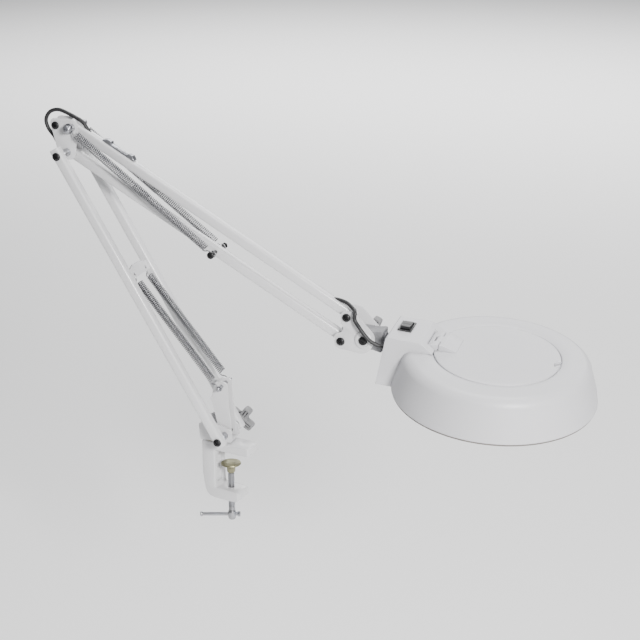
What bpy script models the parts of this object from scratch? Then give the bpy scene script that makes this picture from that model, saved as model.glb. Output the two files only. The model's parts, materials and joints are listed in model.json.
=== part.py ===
"""A bench magnifying lamp: a screw clamp, a sprung two-part arm and a round lighted head with a lens cover.

Metres, +Z up. The origin is on the face that sits on the table top, under the swivel post.
The clamp's jaw points along +X. The arm frame is turned about Z, and its near side is -Y.
"""

from math import atan2, cos, hypot, pi, radians, sin

import bmesh
import bpy
from mathutils import Matrix, Vector

GAP = 0.0003

# Clamp
JAW_WIDTH = 0.024
JAW_THICK = 0.010
JAW_TIP = 0.0515
SPINE_BACK = -0.009
SPINE_FRONT = 0.0075
THROAT = 0.046
LOWER_JAW_THICK = 0.013
LOWER_JAW_TIP = 0.0375
SCREW_X = 0.022
SCREW_R = 0.0037
SCREW_END = -0.088
PAD_R = 0.0115
PAD_TOP = -0.0165
T_BAR_Z = -0.0815
T_BAR_R = 0.0019
T_BAR_LENGTH = 0.046
T_BAR_SHIFT = -0.0138
T_BAR_TURN = radians(28)

# Arm layout in the arm frame: X forward, Z up
ARM_TURN = radians(10)
BASE_PIVOT = Vector((0.018, 0, 0.0195))
LOWER_LENGTH = 0.360
LOWER_ANGLE = radians(120)
UPPER_LENGTH = 0.366
UPPER_ANGLE = radians(-30)
LINK_OFFSET = Vector((0.0065, 0, 0.0275))
TILT_OFFSET = Vector((0.0255, 0, 0.004))
TUBE = 0.011
TUBE_WALL = 0.0015
LOWER_TUBE_Y = 0.028
SPRING_Y = 0.0142
SPRING_R = 0.0047
BRIDGE_AT = 0.208
BOLT_R = 0.0025

# Head
HEAD_TILT = radians(4)
HEAD_ROLL = radians(6.5)
HEAD_X = 0.142
HEAD_R = 0.109
SHOULDER_R = 0.100
HEAD_TOP = 0.006
HEAD_BOTTOM = -0.040
LENS_R = 0.0635
SIGHT_R = 0.0605
COVER_R = 0.0664
COVER_HINGE = Vector((0.0790, 0, HEAD_TOP + 0.0042))
WALL = 0.0025
NECK_BACK = 0.0285
NECK_HALF = 0.028
NECK_TOP = 0.0175
RING_STEPS = 40

LEAD_R = 0.0024


def direction(angle):
    return Vector((cos(angle), 0, sin(angle)))


ELBOW = BASE_PIVOT + LOWER_LENGTH * direction(LOWER_ANGLE)
ELBOW_TOP = ELBOW + LINK_OFFSET
HEAD_LOW = ELBOW + UPPER_LENGTH * direction(UPPER_ANGLE)
HEAD_HIGH = HEAD_LOW + LINK_OFFSET
TILT = HEAD_LOW + TILT_OFFSET
ELBOW_STOP = ELBOW + Vector((-0.0125, 0, 0.029))
UPPER_SPRING_BOLT = Vector((0.0085, 0, 0.2305))
LEVER_PIN = Vector((0.0137, 0, 0.0765))

PARTS = bpy.data.collections.new("magnifying_lamp")
CUTTERS = bpy.data.collections.new("cutters")
MATERIALS = {
    "white_paint": ((0.86, 0.86, 0.87), 0.32, 0.0),
    "white_plastic": ((0.84, 0.84, 0.85), 0.38, 0.0),
    "grey_plastic": ((0.30, 0.30, 0.31), 0.5, 0.0),
    "die_cast": ((0.33, 0.33, 0.34), 0.45, 0.6),
    "steel": ((0.56, 0.56, 0.57), 0.3, 1.0),
    "black_steel": ((0.02, 0.02, 0.022), 0.4, 0.7),
    "zinc": ((0.55, 0.53, 0.38), 0.4, 0.9),
    "black_plastic": ((0.015, 0.015, 0.016), 0.4, 0.0),
    "rubber": ((0.02, 0.02, 0.02), 0.6, 0.0),
    "glass": ((0.92, 0.95, 0.94), 0.04, 0.0),
    "diffuser": ((0.9, 0.9, 0.88), 0.6, 0.0),
    "board": ((0.8, 0.82, 0.78), 0.5, 0.0),
}


# ---------------------------------------------------------------- helpers


def clear_scene():
    for obj in list(bpy.data.objects):
        bpy.data.objects.remove(obj, do_unlink=True)
    for collection in (PARTS, CUTTERS):
        bpy.context.scene.collection.children.link(collection)


def material(name):
    """Each piece has its own material, with the finish that it is named for."""
    colour, roughness, metallic = MATERIALS[name]
    made = bpy.data.materials.new(name)
    made.use_nodes = True
    shader = made.node_tree.nodes["Principled BSDF"]
    shader.inputs["Base Color"].default_value = (*colour, 1)
    shader.inputs["Roughness"].default_value = roughness
    shader.inputs["Metallic"].default_value = metallic
    return made


def axis(name, parent, at=(0, 0, 0), turn=None):
    """An empty on a joint's axis. `turn` is its rotation as a matrix."""
    empty = bpy.data.objects.new(name, None)
    PARTS.objects.link(empty)
    empty.parent = parent
    empty.matrix_local = Matrix.Translation(at) @ (turn or Matrix())
    return empty


def turn_y(angle):
    return Matrix.Rotation(angle, 4, "Y")


ALONG_Y = Matrix.Rotation(-pi / 2, 4, "X")
ALONG_X = Matrix.Rotation(pi / 2, 4, "Y")


def put(name, mesh, parent, look, place=None):
    """An object of the parts collection at `place` in its parent's frame."""
    obj = bpy.data.objects.new(name, mesh)
    PARTS.objects.link(obj)
    obj.parent = parent
    obj.matrix_local = place or Matrix()
    if look:
        mesh.materials.clear()
        mesh.materials.append(material(look))
        mesh.shade_smooth()
        mesh.set_sharp_from_angle(angle=radians(35))
    return obj


def make_cutter(obj):
    PARTS.objects.unlink(obj)
    CUTTERS.objects.link(obj)
    obj.hide_render = True
    obj.display_type = "WIRE"
    return obj


def combine(obj, other, operation="DIFFERENCE"):
    """Cuts or joins with a helper, which then counts as a cutter."""
    if other.name not in CUTTERS.objects:
        make_cutter(other)
    modifier = obj.modifiers.new(other.name, "BOOLEAN")
    modifier.operation = operation
    modifier.solver = "EXACT"
    modifier.object = other
    return obj


def outline_mesh(name, loops, thick):
    """A flat outline in XY, with any holes, as a slab centred on Z = 0."""
    curve = bpy.data.curves.new(name, "CURVE")
    curve.dimensions = "2D"
    curve.fill_mode = "BOTH"
    curve.extrude = thick / 2
    for loop in loops:
        spline = curve.splines.new("POLY")
        spline.points.add(len(loop) - 1)
        for point, (x, y) in zip(spline.points, loop):
            point.co = (x, y, 0, 1)
        spline.use_cyclic_u = True
    guide = bpy.data.objects.new(name + "_outline", curve)
    bpy.context.scene.collection.objects.link(guide)
    graph = bpy.context.evaluated_depsgraph_get()
    mesh = bpy.data.meshes.new_from_object(guide.evaluated_get(graph))
    bpy.data.objects.remove(guide)
    bpy.data.curves.remove(curve)
    edit = bmesh.new()
    edit.from_mesh(mesh)
    bmesh.ops.remove_doubles(edit, verts=edit.verts, dist=1e-6)
    bmesh.ops.recalc_face_normals(edit, faces=edit.faces)
    edit.to_mesh(mesh)
    edit.free()
    mesh.name = name
    return mesh


def side_plate(name, loops, y_low, y_high, parent, look):
    """An outline in X and Z, between two values of Y."""
    mesh = outline_mesh(name, loops, y_high - y_low)
    mesh.transform(Matrix.Translation((0, (y_low + y_high) / 2, 0)) @ Matrix.Rotation(pi / 2, 4, "X"))
    return put(name, mesh, parent, look)


def flat_plate(name, loops, z_low, z_high, parent, look):
    """An outline in X and Y, between two values of Z."""
    mesh = outline_mesh(name, loops, z_high - z_low)
    mesh.transform(Matrix.Translation((0, 0, (z_low + z_high) / 2)))
    return put(name, mesh, parent, look)


def bar(name, loops, x_low, x_high, parent, look):
    """A section in Y and Z, drawn out between two values of X."""
    mesh = outline_mesh(name, loops, x_high - x_low)
    swap = Matrix(((0, 0, 1, (x_low + x_high) / 2), (1, 0, 0, 0), (0, 1, 0, 0), (0, 0, 0, 1)))
    mesh.transform(swap)
    return put(name, mesh, parent, look)


def box(name, low, high, parent, look):
    edit = bmesh.new()
    bmesh.ops.create_cube(edit, size=1)
    low, high = Vector(low), Vector(high)
    bmesh.ops.scale(edit, vec=high - low, verts=edit.verts)
    bmesh.ops.translate(edit, vec=(low + high) / 2, verts=edit.verts)
    mesh = bpy.data.meshes.new(name)
    edit.to_mesh(mesh)
    edit.free()
    return put(name, mesh, parent, look)


def round_edges(obj, width, segments=2, limit=40):
    bevel = obj.modifiers.new("Bevel", "BEVEL")
    bevel.width = width
    bevel.segments = segments
    bevel.limit_method = "ANGLE"
    bevel.angle_limit = radians(limit)
    return obj


def turned(name, profile, parent, look, place=None, steps=20, ring=False):
    """A profile of (radius, height) points, top to bottom, turned about Z."""
    mesh = bpy.data.meshes.new(name)
    points = [(radius, 0, height) for radius, height in profile]
    edges = [(i, i + 1) for i in range(len(points) - 1)]
    if ring:
        edges.append((len(points) - 1, 0))
    mesh.from_pydata(points, edges, [])
    obj = put(name, mesh, parent, look, place)
    screw = obj.modifiers.new("Screw", "SCREW")
    screw.axis = "Z"
    screw.steps = steps
    screw.render_steps = steps
    screw.use_smooth_shade = True
    screw.use_merge_vertices = True
    screw.merge_threshold = 1e-5
    return obj


def pin(name, radius, low, high, parent, look, place=None, steps=14):
    """A plain round bar along Z of its place."""
    return turned(name, [(0, high), (radius, high), (radius, low), (0, low)], parent, look, place, steps)


def sleeve(name, inner, outer, low, high, parent, look, place=None, steps=14):
    ring = [(outer, high), (outer, low), (inner, low), (inner, high)]
    return turned(name, ring, parent, look, place, steps, ring=True)


def circle(x, y, radius, count=12):
    return [(x + radius * cos(2 * pi * i / count), y + radius * sin(2 * pi * i / count)) for i in range(count)]


def rounded(corners, steps=4):
    """The corners (x, y, radius) with each one rounded by an arc."""
    points = []
    for i, (x, y, radius) in enumerate(corners):
        here = Vector((x, y))
        back = Vector(corners[i - 1][:2]) - here
        ahead = Vector(corners[(i + 1) % len(corners)][:2]) - here
        if radius == 0:
            points.append((x, y))
            continue
        half = back.angle(ahead) / 2
        middle = here + (back.normalized() + ahead.normalized()).normalized() * radius / sin(half)
        first = here + back.normalized() * radius / (sin(half) / cos(half)) - middle
        sweep = first.angle_signed(here + ahead.normalized() * radius / (sin(half) / cos(half)) - middle)
        start = atan2(first.y, first.x)
        for k in range(steps + 1):
            angle = start - sweep * k / steps
            points.append((middle.x + radius * cos(angle), middle.y + radius * sin(angle)))
    return points


def square(half, corner, steps=3):
    return rounded([(half, half, corner), (-half, half, corner), (-half, -half, corner), (half, -half, corner)], steps)


def smooth_route(points, every):
    """Points along a smooth curve through the given ones, about `every` apart."""
    points = [Vector(p) for p in points]
    path = [points[0]]
    for i in range(len(points) - 1):
        before = points[max(i - 1, 0)]
        after = points[min(i + 2, len(points) - 1)]
        start, end = points[i], points[i + 1]
        count = max(1, round((end - start).length / every))
        for k in range(1, count + 1):
            t = k / count
            path.append(0.5 * (2 * start + (end - before) * t
                               + (2 * before - 5 * start + 4 * end - after) * t * t
                               + (3 * start - before - 3 * end + after) * t ** 3))
    return path


def wire(name, points, radius, parent, look, resolution=2):
    curve = bpy.data.curves.new(name, "CURVE")
    curve.dimensions = "3D"
    curve.bevel_depth = radius
    curve.bevel_resolution = resolution
    curve.use_fill_caps = True
    spline = curve.splines.new("POLY")
    spline.points.add(len(points) - 1)
    for point, place in zip(spline.points, points):
        point.co = (*place, 1)
    curve.materials.append(material(look))
    obj = bpy.data.objects.new(name, curve)
    PARTS.objects.link(obj)
    obj.parent = parent
    return obj


def bolt_y(name, at, low, high, head_r, head_h, nut_r, nut_h, parent, look, shaft=BOLT_R):
    """A bolt along Y with its head on the near side and a nut or a stake on the far side."""
    profile = [(0, high + nut_h), (nut_r, high + nut_h), (nut_r, high), (shaft, high), (shaft, low),
               (head_r, low), (head_r, low - head_h * 0.6), (head_r * 0.8, low - head_h), (0, low - head_h)]
    return turned(name, profile, parent, look, Matrix.Translation(at) @ ALONG_Y, 12)


# ---------------------------------------------------------------- clamp


def clamp(root):
    bottom = -THROAT - LOWER_JAW_THICK
    corners = [(SPINE_BACK, JAW_THICK, 0.002), (SPINE_BACK, -0.030, 0.03), (-0.0045, bottom, 0.013),
               (LOWER_JAW_TIP, bottom - 0.001, 0.005), (LOWER_JAW_TIP, -THROAT - 0.001, 0.004),
               (SPINE_FRONT, -THROAT, 0.003), (SPINE_FRONT, 0, 0.0015), (JAW_TIP, 0, 0.0015),
               (JAW_TIP, JAW_THICK, 0.002)]
    half = JAW_WIDTH / 2
    body = side_plate("clamp_body", [rounded(corners, 2)], -half, half, root, "white_paint")
    round_edges(body, 0.0012, 1, 60)
    combine(body, box("recess_cutter", (0.0035, -0.0065, -0.041), (0.012, 0.0065, -0.006), root, None))
    combine(body, pin("post_cutter", 0.0046, -0.003, 0.03, root, None, steps=20))
    hole = Matrix.Translation((SCREW_X, 0, 0))
    combine(body, pin("screw_cutter", SCREW_R + GAP, -0.08, -0.03, root, None, hole, 20))
    return body


def clamp_screw(pad_axis, screw_axis, bar_axis):
    turned("clamp_pad", [(0, PAD_TOP), (PAD_R - 0.001, PAD_TOP), (PAD_R, PAD_TOP - 0.0007), (PAD_R, PAD_TOP - 0.0018),
                         (0.0075, PAD_TOP - 0.0026), (0.0066, PAD_TOP - 0.0105), (0.0050, PAD_TOP - 0.0120),
                         (0.0030, PAD_TOP - 0.0120), (0.0030, PAD_TOP - 0.0045), (0, PAD_TOP - 0.0045)],
           pad_axis, "zinc", steps=20)
    top = PAD_TOP - 0.0045 - GAP
    neck = PAD_TOP - 0.0123
    rings = [(0, top), (0.0026, top), (0.0026, neck), (SCREW_R - 0.0006, neck), (SCREW_R, neck - 0.001),
             (SCREW_R, -0.0740), (0.0052, -0.0765), (0.0056, -0.0800), (0.0056, -0.0830), (0.0048, -0.0862),
             (0.0025, SCREW_END), (0, SCREW_END)]
    screw = turned("clamp_screw", rings, screw_axis, "steel", steps=18)
    across = Matrix.Translation((0, 0, T_BAR_Z)) @ Matrix.Rotation(T_BAR_TURN, 4, "Z") @ ALONG_X
    combine(screw, pin("t_bar_cutter", T_BAR_R + GAP, -0.02, 0.02, screw_axis, None, across, 12))
    half = T_BAR_LENGTH / 2
    low, high = T_BAR_SHIFT - half, T_BAR_SHIFT + half
    slide = Matrix.Rotation(T_BAR_TURN, 4, "Z") @ ALONG_X
    turned("t_bar", [(0, high), (T_BAR_R * 0.8, high), (T_BAR_R, high - 0.0005), (T_BAR_R, low + 0.003),
                     (0.0029, low + 0.0025),
                     (0.0031, low + 0.0012), (0.0022, low), (0, low)], bar_axis, "steel", slide, 14)
    cap = [(0.0030, high + 0.0006), (0.0032, high - 0.0010), (0.0028, high - 0.0028),
           (T_BAR_R + GAP, high - 0.0028), (T_BAR_R + GAP, high + 0.0006)]
    turned("t_bar_collar", cap, bar_axis, "steel", slide, 14, ring=True)


# ---------------------------------------------------------------- base


def star(lobes, outer, inner, steps=6):
    """A star knob's outline: round lobe ends joined by scooped flanks."""
    points = []
    for i in range(lobes):
        middle = 2 * pi * (i + 0.5) / lobes
        for k in range(steps + 1):
            t = k / steps * 2 - 1
            if abs(t) < 0.34:
                radius = outer - 0.0006 * abs(t)
            else:
                radius = inner + (outer - inner) * (1 - (abs(t) - 0.34) / 0.66) ** 2.2
            angle = middle + t * pi / lobes
            points.append((radius * cos(angle), radius * sin(angle)))
        points.pop()
    return points


def star_knob(name, at, y_near, y_far, turn, parent, radius=0.0165):
    """A four-lobed knob whose hub faces the near side. It rides on the end of its bolt."""
    depth = y_far - y_near
    mesh = outline_mesh(name, [star(4, radius, radius * 0.56, 7)], depth)
    mesh.transform(Matrix.Translation((0, 0, depth / 2)))
    place = Matrix.Translation((at.x, y_near, at.z)) @ Matrix.Rotation(-turn, 4, "Y") @ ALONG_Y
    knob = put(name, mesh, parent, "grey_plastic", place)
    round_edges(knob, 0.0011, 1, 50)
    combine(knob, pin(name + "_bore", BOLT_R + GAP, -0.002, depth * 0.7, parent, None, place, 14))
    return knob


def base(swivel):
    half = 0.012
    low = JAW_THICK + 4 * GAP
    sleeve("swivel_washer", 0.0047, 0.0115, JAW_THICK + GAP, JAW_THICK + 3 * GAP, None, "zinc", steps=24)
    turned("swivel_post", [(0, low + 0.0045), (0.0062, low + 0.0045), (0.0068, low + 0.0038), (0.0068, low + 0.0022 + GAP),
                           (0.0042, low + 0.0022 + GAP), (0.0042, -0.0022), (0, -0.0022)],
           swivel, "steel", steps=20)
    base_x, base_z = BASE_PIVOT.x, BASE_PIVOT.z
    cheek = rounded([(-0.012, low, 0.0005), (0.0265, low, 0.003), (0.0265, base_z + 0.0065, 0.005), (0.012, 0.031, 0.008),
                     (-0.003, 0.037, 0.004), (-0.0135, 0.030, 0.004)], 3)
    bracket = side_plate("base_bracket", [cheek], -half, half, swivel, "white_paint")
    channel = box("bracket_channel_cutter", (-0.03, -half + 0.002, low + 0.0022), (0.05, half - 0.002, 0.06), swivel,
                  None)
    combine(bracket, channel)
    combine(bracket, pin("bracket_post_cutter", 0.0045, 0, 0.0145, swivel, None))
    place = Matrix.Translation((base_x, 0, base_z)) @ ALONG_Y
    combine(bracket, pin("bracket_bolt_cutter", BOLT_R + GAP, -0.03, 0.03, swivel, None, place, 16))
    lever(swivel)
    inner = half + GAP
    outer = LOWER_TUBE_Y - TUBE / 2 - GAP
    sleeve("base_spacer_near", BOLT_R + GAP, 0.0045, -outer, -inner, swivel, "steel", place, 12)
    sleeve("base_spacer_far", BOLT_R + GAP, 0.0045, inner, outer, swivel, "steel", place, 12)
    face = LOWER_TUBE_Y + TUBE / 2 + GAP
    bolt_y("base_bolt", BASE_PIVOT, -face, face + 0.008, 0.0046, 0.0028, BOLT_R, 0.0001, swivel, "black_steel")


def lever(swivel):
    """The folded channel that holds the lower springs' ends."""
    outline = rounded([(0.0115, 0.0150, 0.003), (0.0245, 0.0150, 0.003), (0.0240, 0.030, 0.004), (0.0215, 0.052, 0.01),
                       (0.0205, 0.0815, 0.004), (0.0065, 0.0815, 0.004), (0.0000, 0.060, 0.006),
                       (0.0060, 0.040, 0.006)], 3)
    half = 0.0078
    channel = side_plate("spring_lever", [outline], -half, half, swivel, "white_paint")
    inside = rounded([(0.0145, 0.0100, 0), (0.05, 0.0100, 0), (0.05, 0.1, 0), (0.0165, 0.1, 0), (0.0095, 0.0835, 0),
                      (0.0035, 0.061, 0), (0.0085, 0.041, 0), (0.0128, 0.024, 0)], 3)
    combine(channel, side_plate("lever_channel_cutter", [inside], -half + 0.0018, half - 0.0018, swivel, None))
    place = Matrix.Translation((BASE_PIVOT.x, 0, BASE_PIVOT.z)) @ ALONG_Y
    combine(channel, pin("lever_bolt_cutter", BOLT_R + GAP, -0.02, 0.02, swivel, None, place, 16))
    top = Matrix.Translation(LEVER_PIN) @ ALONG_Y
    combine(channel, pin("lever_pin_cutter", 0.0020 + GAP, -0.02, 0.02, swivel, None, top, 14))
    pin("lever_spring_pin", 0.0020, -SPRING_Y - 0.0055, SPRING_Y + 0.0055, swivel, "steel", top, 14)


# ---------------------------------------------------------------- arms


def square_tube(name, x_low, x_high, y, z, parent, holes, slots=()):
    """A hollow square tube along X, with cross holes for its pivots."""
    outer = [(y + a, z + b) for a, b in square(TUBE / 2, 0.0028, 2)]
    inner = [(y + a, z + b) for a, b in square(TUBE / 2 - TUBE_WALL, 0.0016, 2)]
    tube = bar(name, [outer, inner], x_low, x_high, parent, "white_paint")
    for i, x in enumerate(holes):
        place = Matrix.Translation((x, y, z)) @ ALONG_Y
        combine(tube, pin(f"{name}_hole_{i}", BOLT_R + GAP, -0.02, 0.02, parent, None, place, 14))
    for i, (low, high) in enumerate(slots):
        combine(tube, box(f"{name}_slot_{i}", low, high, parent, None))
    return tube


def spring(name, start, end, y, parent):
    """A spring as a plain tube with a solid eye at each end that leaves its pin free."""
    start, end = Vector(start), Vector(end)
    along = (end - start).normalized()
    length = (end - start).length
    trim = 0.0105
    turned_along = Vector((0, 0, 1)).rotation_difference(along).to_matrix().to_4x4()
    place = Matrix.Translation((start.x, y, start.z)) @ turned_along
    inner = SPRING_R - 0.0014
    ring = [(SPRING_R, length - trim), (SPRING_R, trim), (inner, trim), (inner, length - trim)]
    return turned(name, ring, parent, "steel", place, 12, ring=True)


def lower_arm(arm):
    """Two tubes side by side with a bridge between them. X runs from the base pivot to the elbow."""
    ends = (-0.0070, LOWER_LENGTH + 0.0085)
    slot = ((LOWER_LENGTH - 0.054, -0.0250, -0.0033), (LOWER_LENGTH - 0.012, -0.0215, 0.0033))
    square_tube("lower_tube_near", *ends, -LOWER_TUBE_Y, 0, arm, (0, LOWER_LENGTH), (slot,))
    square_tube("lower_tube_far", *ends, LOWER_TUBE_Y, 0, arm, (0, LOWER_LENGTH))
    inside = LOWER_TUBE_Y - TUBE / 2 - GAP
    outline = rounded([(-0.004, -inside, 0), (0.006, -inside, 0), (0.010, -0.008, 0.003), (0.010, 0.008, 0.003),
                       (0.006, inside, 0), (-0.004, inside, 0)], 3)
    holes = [circle(BRIDGE_AT - 0.0005, side * SPRING_Y, 0.0016, 10) for side in (-1, 1)]
    loops = [[(BRIDGE_AT + x, y) for x, y in outline], *holes]
    bridge = flat_plate("lower_bridge", loops, -0.0022, 0.0004, arm, "white_paint")


def elbow(arm, frame):
    """The two elbow plates stand between the lower tubes and carry the upper arm's pivots."""
    b, c, s = ELBOW, ELBOW_TOP, ELBOW_STOP
    outline = rounded([(b.x + 0.0085, b.z - 0.0085, 0.007), (c.x + 0.0085, c.z + 0.0085, 0.007),
                       (s.x - 0.0080, s.z + 0.0080, 0.005), (b.x - 0.0095, b.z - 0.0085, 0.007)], 4)
    hole = BOLT_R + GAP
    loops = [outline, circle(b.x, b.z, hole), circle(c.x, c.z, hole), circle(s.x, s.z, 0.0020 + GAP, 12)]
    near, far = 0.0068, 0.0086
    side_plate("elbow_plate_near", loops, -far, -near, frame, "white_paint")
    side_plate("elbow_plate_far", loops, near, far, frame, "white_paint")
    outer = LOWER_TUBE_Y - TUBE / 2 - GAP
    at_b = Matrix.Translation(b) @ ALONG_Y
    at_c = Matrix.Translation(c) @ ALONG_Y
    sleeve("elbow_spacer_near", hole, 0.0045, -outer, -far - GAP, frame, "steel", at_b, 12)
    sleeve("elbow_spacer_far", hole, 0.0045, far + GAP, outer, frame, "steel", at_b, 12)
    face = LOWER_TUBE_Y + TUBE / 2 + GAP
    bolt_y("elbow_bolt", b, -face, face, 0.0046, 0.0028, 0.0045, 0.0030, frame, "black_steel")
    spool = SPRING_Y + SPRING_R + 0.001
    sleeve("spring_spool_near", hole, 0.0044, -spool, -far - GAP, frame, "steel", at_c, 12)
    sleeve("spring_spool_far", hole, 0.0044, far + GAP, spool, frame, "steel", at_c, 12)
    bolt_y("elbow_top_bolt", c, -spool - GAP, spool + GAP, 0.0040, 0.0020, 0.0040, 0.0025, frame, "steel")
    bolt_y("elbow_stop_bolt", s, -far - GAP, far + GAP, 0.0044, 0.0026, 0.0040, 0.0030, frame, "black_steel",
           0.0020)


def upper_arm(top_arm, low_arm):
    """The top tube carries the lead. The bottom tube takes the springs."""
    slots = (((0.0060, -0.0028, 0.0030), (0.036, 0.0028, 0.008)), ((UPPER_LENGTH - 0.032, -0.0028, 0.0030),
                                                                     (UPPER_LENGTH - 0.0085, 0.0028, 0.008)))
    square_tube("upper_tube_top", -0.0065, UPPER_LENGTH + 0.0065, 0, 0, top_arm, (0, UPPER_LENGTH), slots)
    anchor = (UPPER_SPRING_BOLT - ELBOW).dot(direction(UPPER_ANGLE))
    square_tube("upper_tube_bottom", -0.0065, UPPER_LENGTH + 0.0065, 0, 0, low_arm, (0, anchor, UPPER_LENGTH))
    reach = SPRING_Y + 0.0055
    bolt_y("upper_spring_bolt", Vector((anchor, 0, 0)), -reach, reach, 0.0040, 0.0022, 0.0036, 0.0022, low_arm,
           "black_steel", 0.0022)
    hood = TUBE / 2 + GAP
    clip = [(0.018, hood), (0.060, hood), (0.060, hood + 0.0016), (0.0555, hood + 0.0045), (0.0515, hood + 0.0045),
            (0.0495, hood + 0.0020), (0.0290, hood + 0.0020), (0.0270, hood + 0.0045), (0.0230, hood + 0.0045),
            (0.018, hood + 0.0016)]
    wide = side_plate("lead_clip", [[(x + 0.018, z) for x, z in clip]], -0.0036, 0.0036, top_arm, "steel")


def head_bracket(frame):
    low, high, tilt = HEAD_LOW, HEAD_HIGH, TILT
    hole = BOLT_R + GAP
    outline = rounded([(low.x - 0.007, low.z - 0.0075, 0.006), (tilt.x + 0.002, tilt.z - 0.0165, 0.012),
                       (tilt.x + 0.0165, tilt.z + 0.002, 0.013), (high.x + 0.0080, high.z + 0.0065, 0.006),
                       (high.x - 0.0070, high.z + 0.0070, 0.006), (high.x - 0.0068, high.z - 0.007, 0.004),
                       (high.x + 0.0045, (low.z + high.z) / 2, 0.006), (low.x - 0.0075, low.z + 0.0075, 0.005)], 4)
    loops = [outline, circle(low.x, low.z, hole), circle(high.x, high.z, hole), circle(tilt.x, tilt.z, 0.0030 + GAP)]
    near, far = 0.0112, 0.0132
    side_plate("head_plate_near", loops, -far, -near, frame, "white_paint")
    side_plate("head_plate_far", loops, near, far, frame, "white_paint")
    for name, at in (("bottom", low), ("top", high)):
        bolt_y(f"head_bolt_{name}", at, -far - GAP, far + GAP, 0.0046, 0.0028, 0.0044, 0.0030, frame, "black_steel")
    place = Matrix.Translation(tilt) @ ALONG_Y
    sleeve("tilt_boss", 0.0030 + GAP, 0.0098, -far - GAP - 0.0016, -far - GAP, frame, "white_paint", place, 20)
    bolt_y("tilt_bolt", tilt, -far - 2 * GAP - 0.0016, 0.0212, 0.0048, 0.0022, BOLT_R, 0.0001, frame, "black_steel", BOLT_R)


def knuckle(frame):
    """The cast knuckle turns on the tilt bolt, and its stem holds the head."""
    outline = rounded([(-0.0105, -0.0105, 0.0085), (0.0100, -0.0105, 0.004), (0.0200, -0.0125, 0.002),
                       (0.0200, 0.0125, 0.002), (0.0100, 0.0105, 0.004), (-0.0105, 0.0105, 0.0085)], 4)
    body = side_plate("knuckle", [outline, circle(0, 0, 0.0030 + GAP)], -0.0105, 0.0105, frame, "die_cast")
    round_edges(body, 0.0012, 1, 60)
    stem = pin("stem_join", 0.0060, 0.0150, 0.0330, frame, None, ALONG_X, 20)
    combine(body, stem, "UNION")
    return body


# ---------------------------------------------------------------- head


def head_outer(shrink=0.0):
    """The head's outer profile, top to bottom, `shrink` inside the surface."""
    top, bottom = HEAD_TOP - shrink, HEAD_BOTTOM + 0.0016
    arc = []
    middle_r, middle_z, radius = SHOULDER_R - 0.0125, HEAD_TOP - 0.0125, 0.0125 - shrink
    for k in range(6):
        angle = radians(90 - k * 16)
        arc.append((middle_r + radius * cos(angle), middle_z + radius * sin(angle)))
    return [(middle_r - 0.010, top + 0.0006), *arc, (HEAD_R - shrink - 0.0022, bottom + 0.012), (HEAD_R - shrink, bottom)]


def head_cover(head):
    """The moulded top: ring, skirt and neck in one shell, open underneath."""
    place = Matrix.Translation((HEAD_X, 0, 0))
    outer = head_outer()
    bottom = outer[-1][1]
    section = [(COVER_R + 0.0030, HEAD_TOP - 0.0004), *outer, (LENS_R + GAP, bottom), (LENS_R + GAP, 0.0005),
               (SIGHT_R, 0.0005), (SIGHT_R, HEAD_TOP - 0.0028), (COVER_R + 0.0008, HEAD_TOP - 0.0028),
               (COVER_R + 0.0008, HEAD_TOP - 0.0012)]
    shell = turned("head_cover", section, head, "white_plastic", place, RING_STEPS, ring=True)
    combine(shell, neck_block("neck_join", head, 0), "UNION")
    inner = head_outer(WALL)
    collar = LENS_R + GAP + 0.0026
    hollow = [(collar, HEAD_TOP - WALL - 0.0030), *inner[1:], (inner[-1][0], -0.06), (collar, -0.06)]
    combine(shell, turned("ring_hollow_cutter", hollow, head, None, place, RING_STEPS, ring=True))
    neck_hollow = neck_block("neck_hollow_cutter", head, WALL)
    combine(neck_hollow, pin("lens_collar_keep", collar, -0.09, 0.05, head, None, place, RING_STEPS))
    combine(shell, neck_hollow)
    combine(shell, pin("stem_hole_cutter", 0.0063, 0.010, 0.045, head, None, ALONG_X, 20))
    lead_hole = Matrix.Translation((0, -0.0164, -0.0004)) @ ALONG_X
    combine(shell, pin("lead_hole_cutter", LEAD_R + 0.0014, 0.010, 0.045, head, None, lead_hole, 14))
    window = switch_place() @ Matrix.Translation((0, 0, -0.002))
    pocket = 0.0175 + GAP
    combine(shell, box("hinge_pocket_cutter", (0.0700, -pocket, HEAD_TOP + 0.0005), (0.09, pocket, 0.03), head, None))
    combine(shell, put("switch_hole_cutter", cube_mesh((0.0132, 0.0212, 0.012)), head, None, window))
    return shell


def cube_mesh(size):
    edit = bmesh.new()
    bmesh.ops.create_cube(edit, size=1)
    bmesh.ops.scale(edit, vec=size, verts=edit.verts)
    mesh = bpy.data.meshes.new("cube")
    edit.to_mesh(mesh)
    edit.free()
    return mesh


def neck_block(name, head, shrink):
    """The wedge-shaped neck, from its back wall to the ring's top."""
    s = shrink
    low = -0.06 if s else HEAD_BOTTOM + 0.0002
    front = 0.0672 if s else 0.0740
    outline = rounded([(0.0192 + s, low, 0), (NECK_BACK - 0.0005 + s, NECK_TOP - s, 0.002),
                       (front - 0.0115, NECK_TOP - s, 0.002),
                       (front, HEAD_TOP - 0.002 - s, 0), (front, -0.006, 0), (0.050, low, 0)], 3)
    block = side_plate(name, [outline], -NECK_HALF + s, NECK_HALF - s, head, None)
    if not s:
        round_edges(block, 0.0030, 2, 50)
    return block


def switch_place():
    return Matrix.Translation((0.0425, 0.0035, NECK_TOP))


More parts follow.
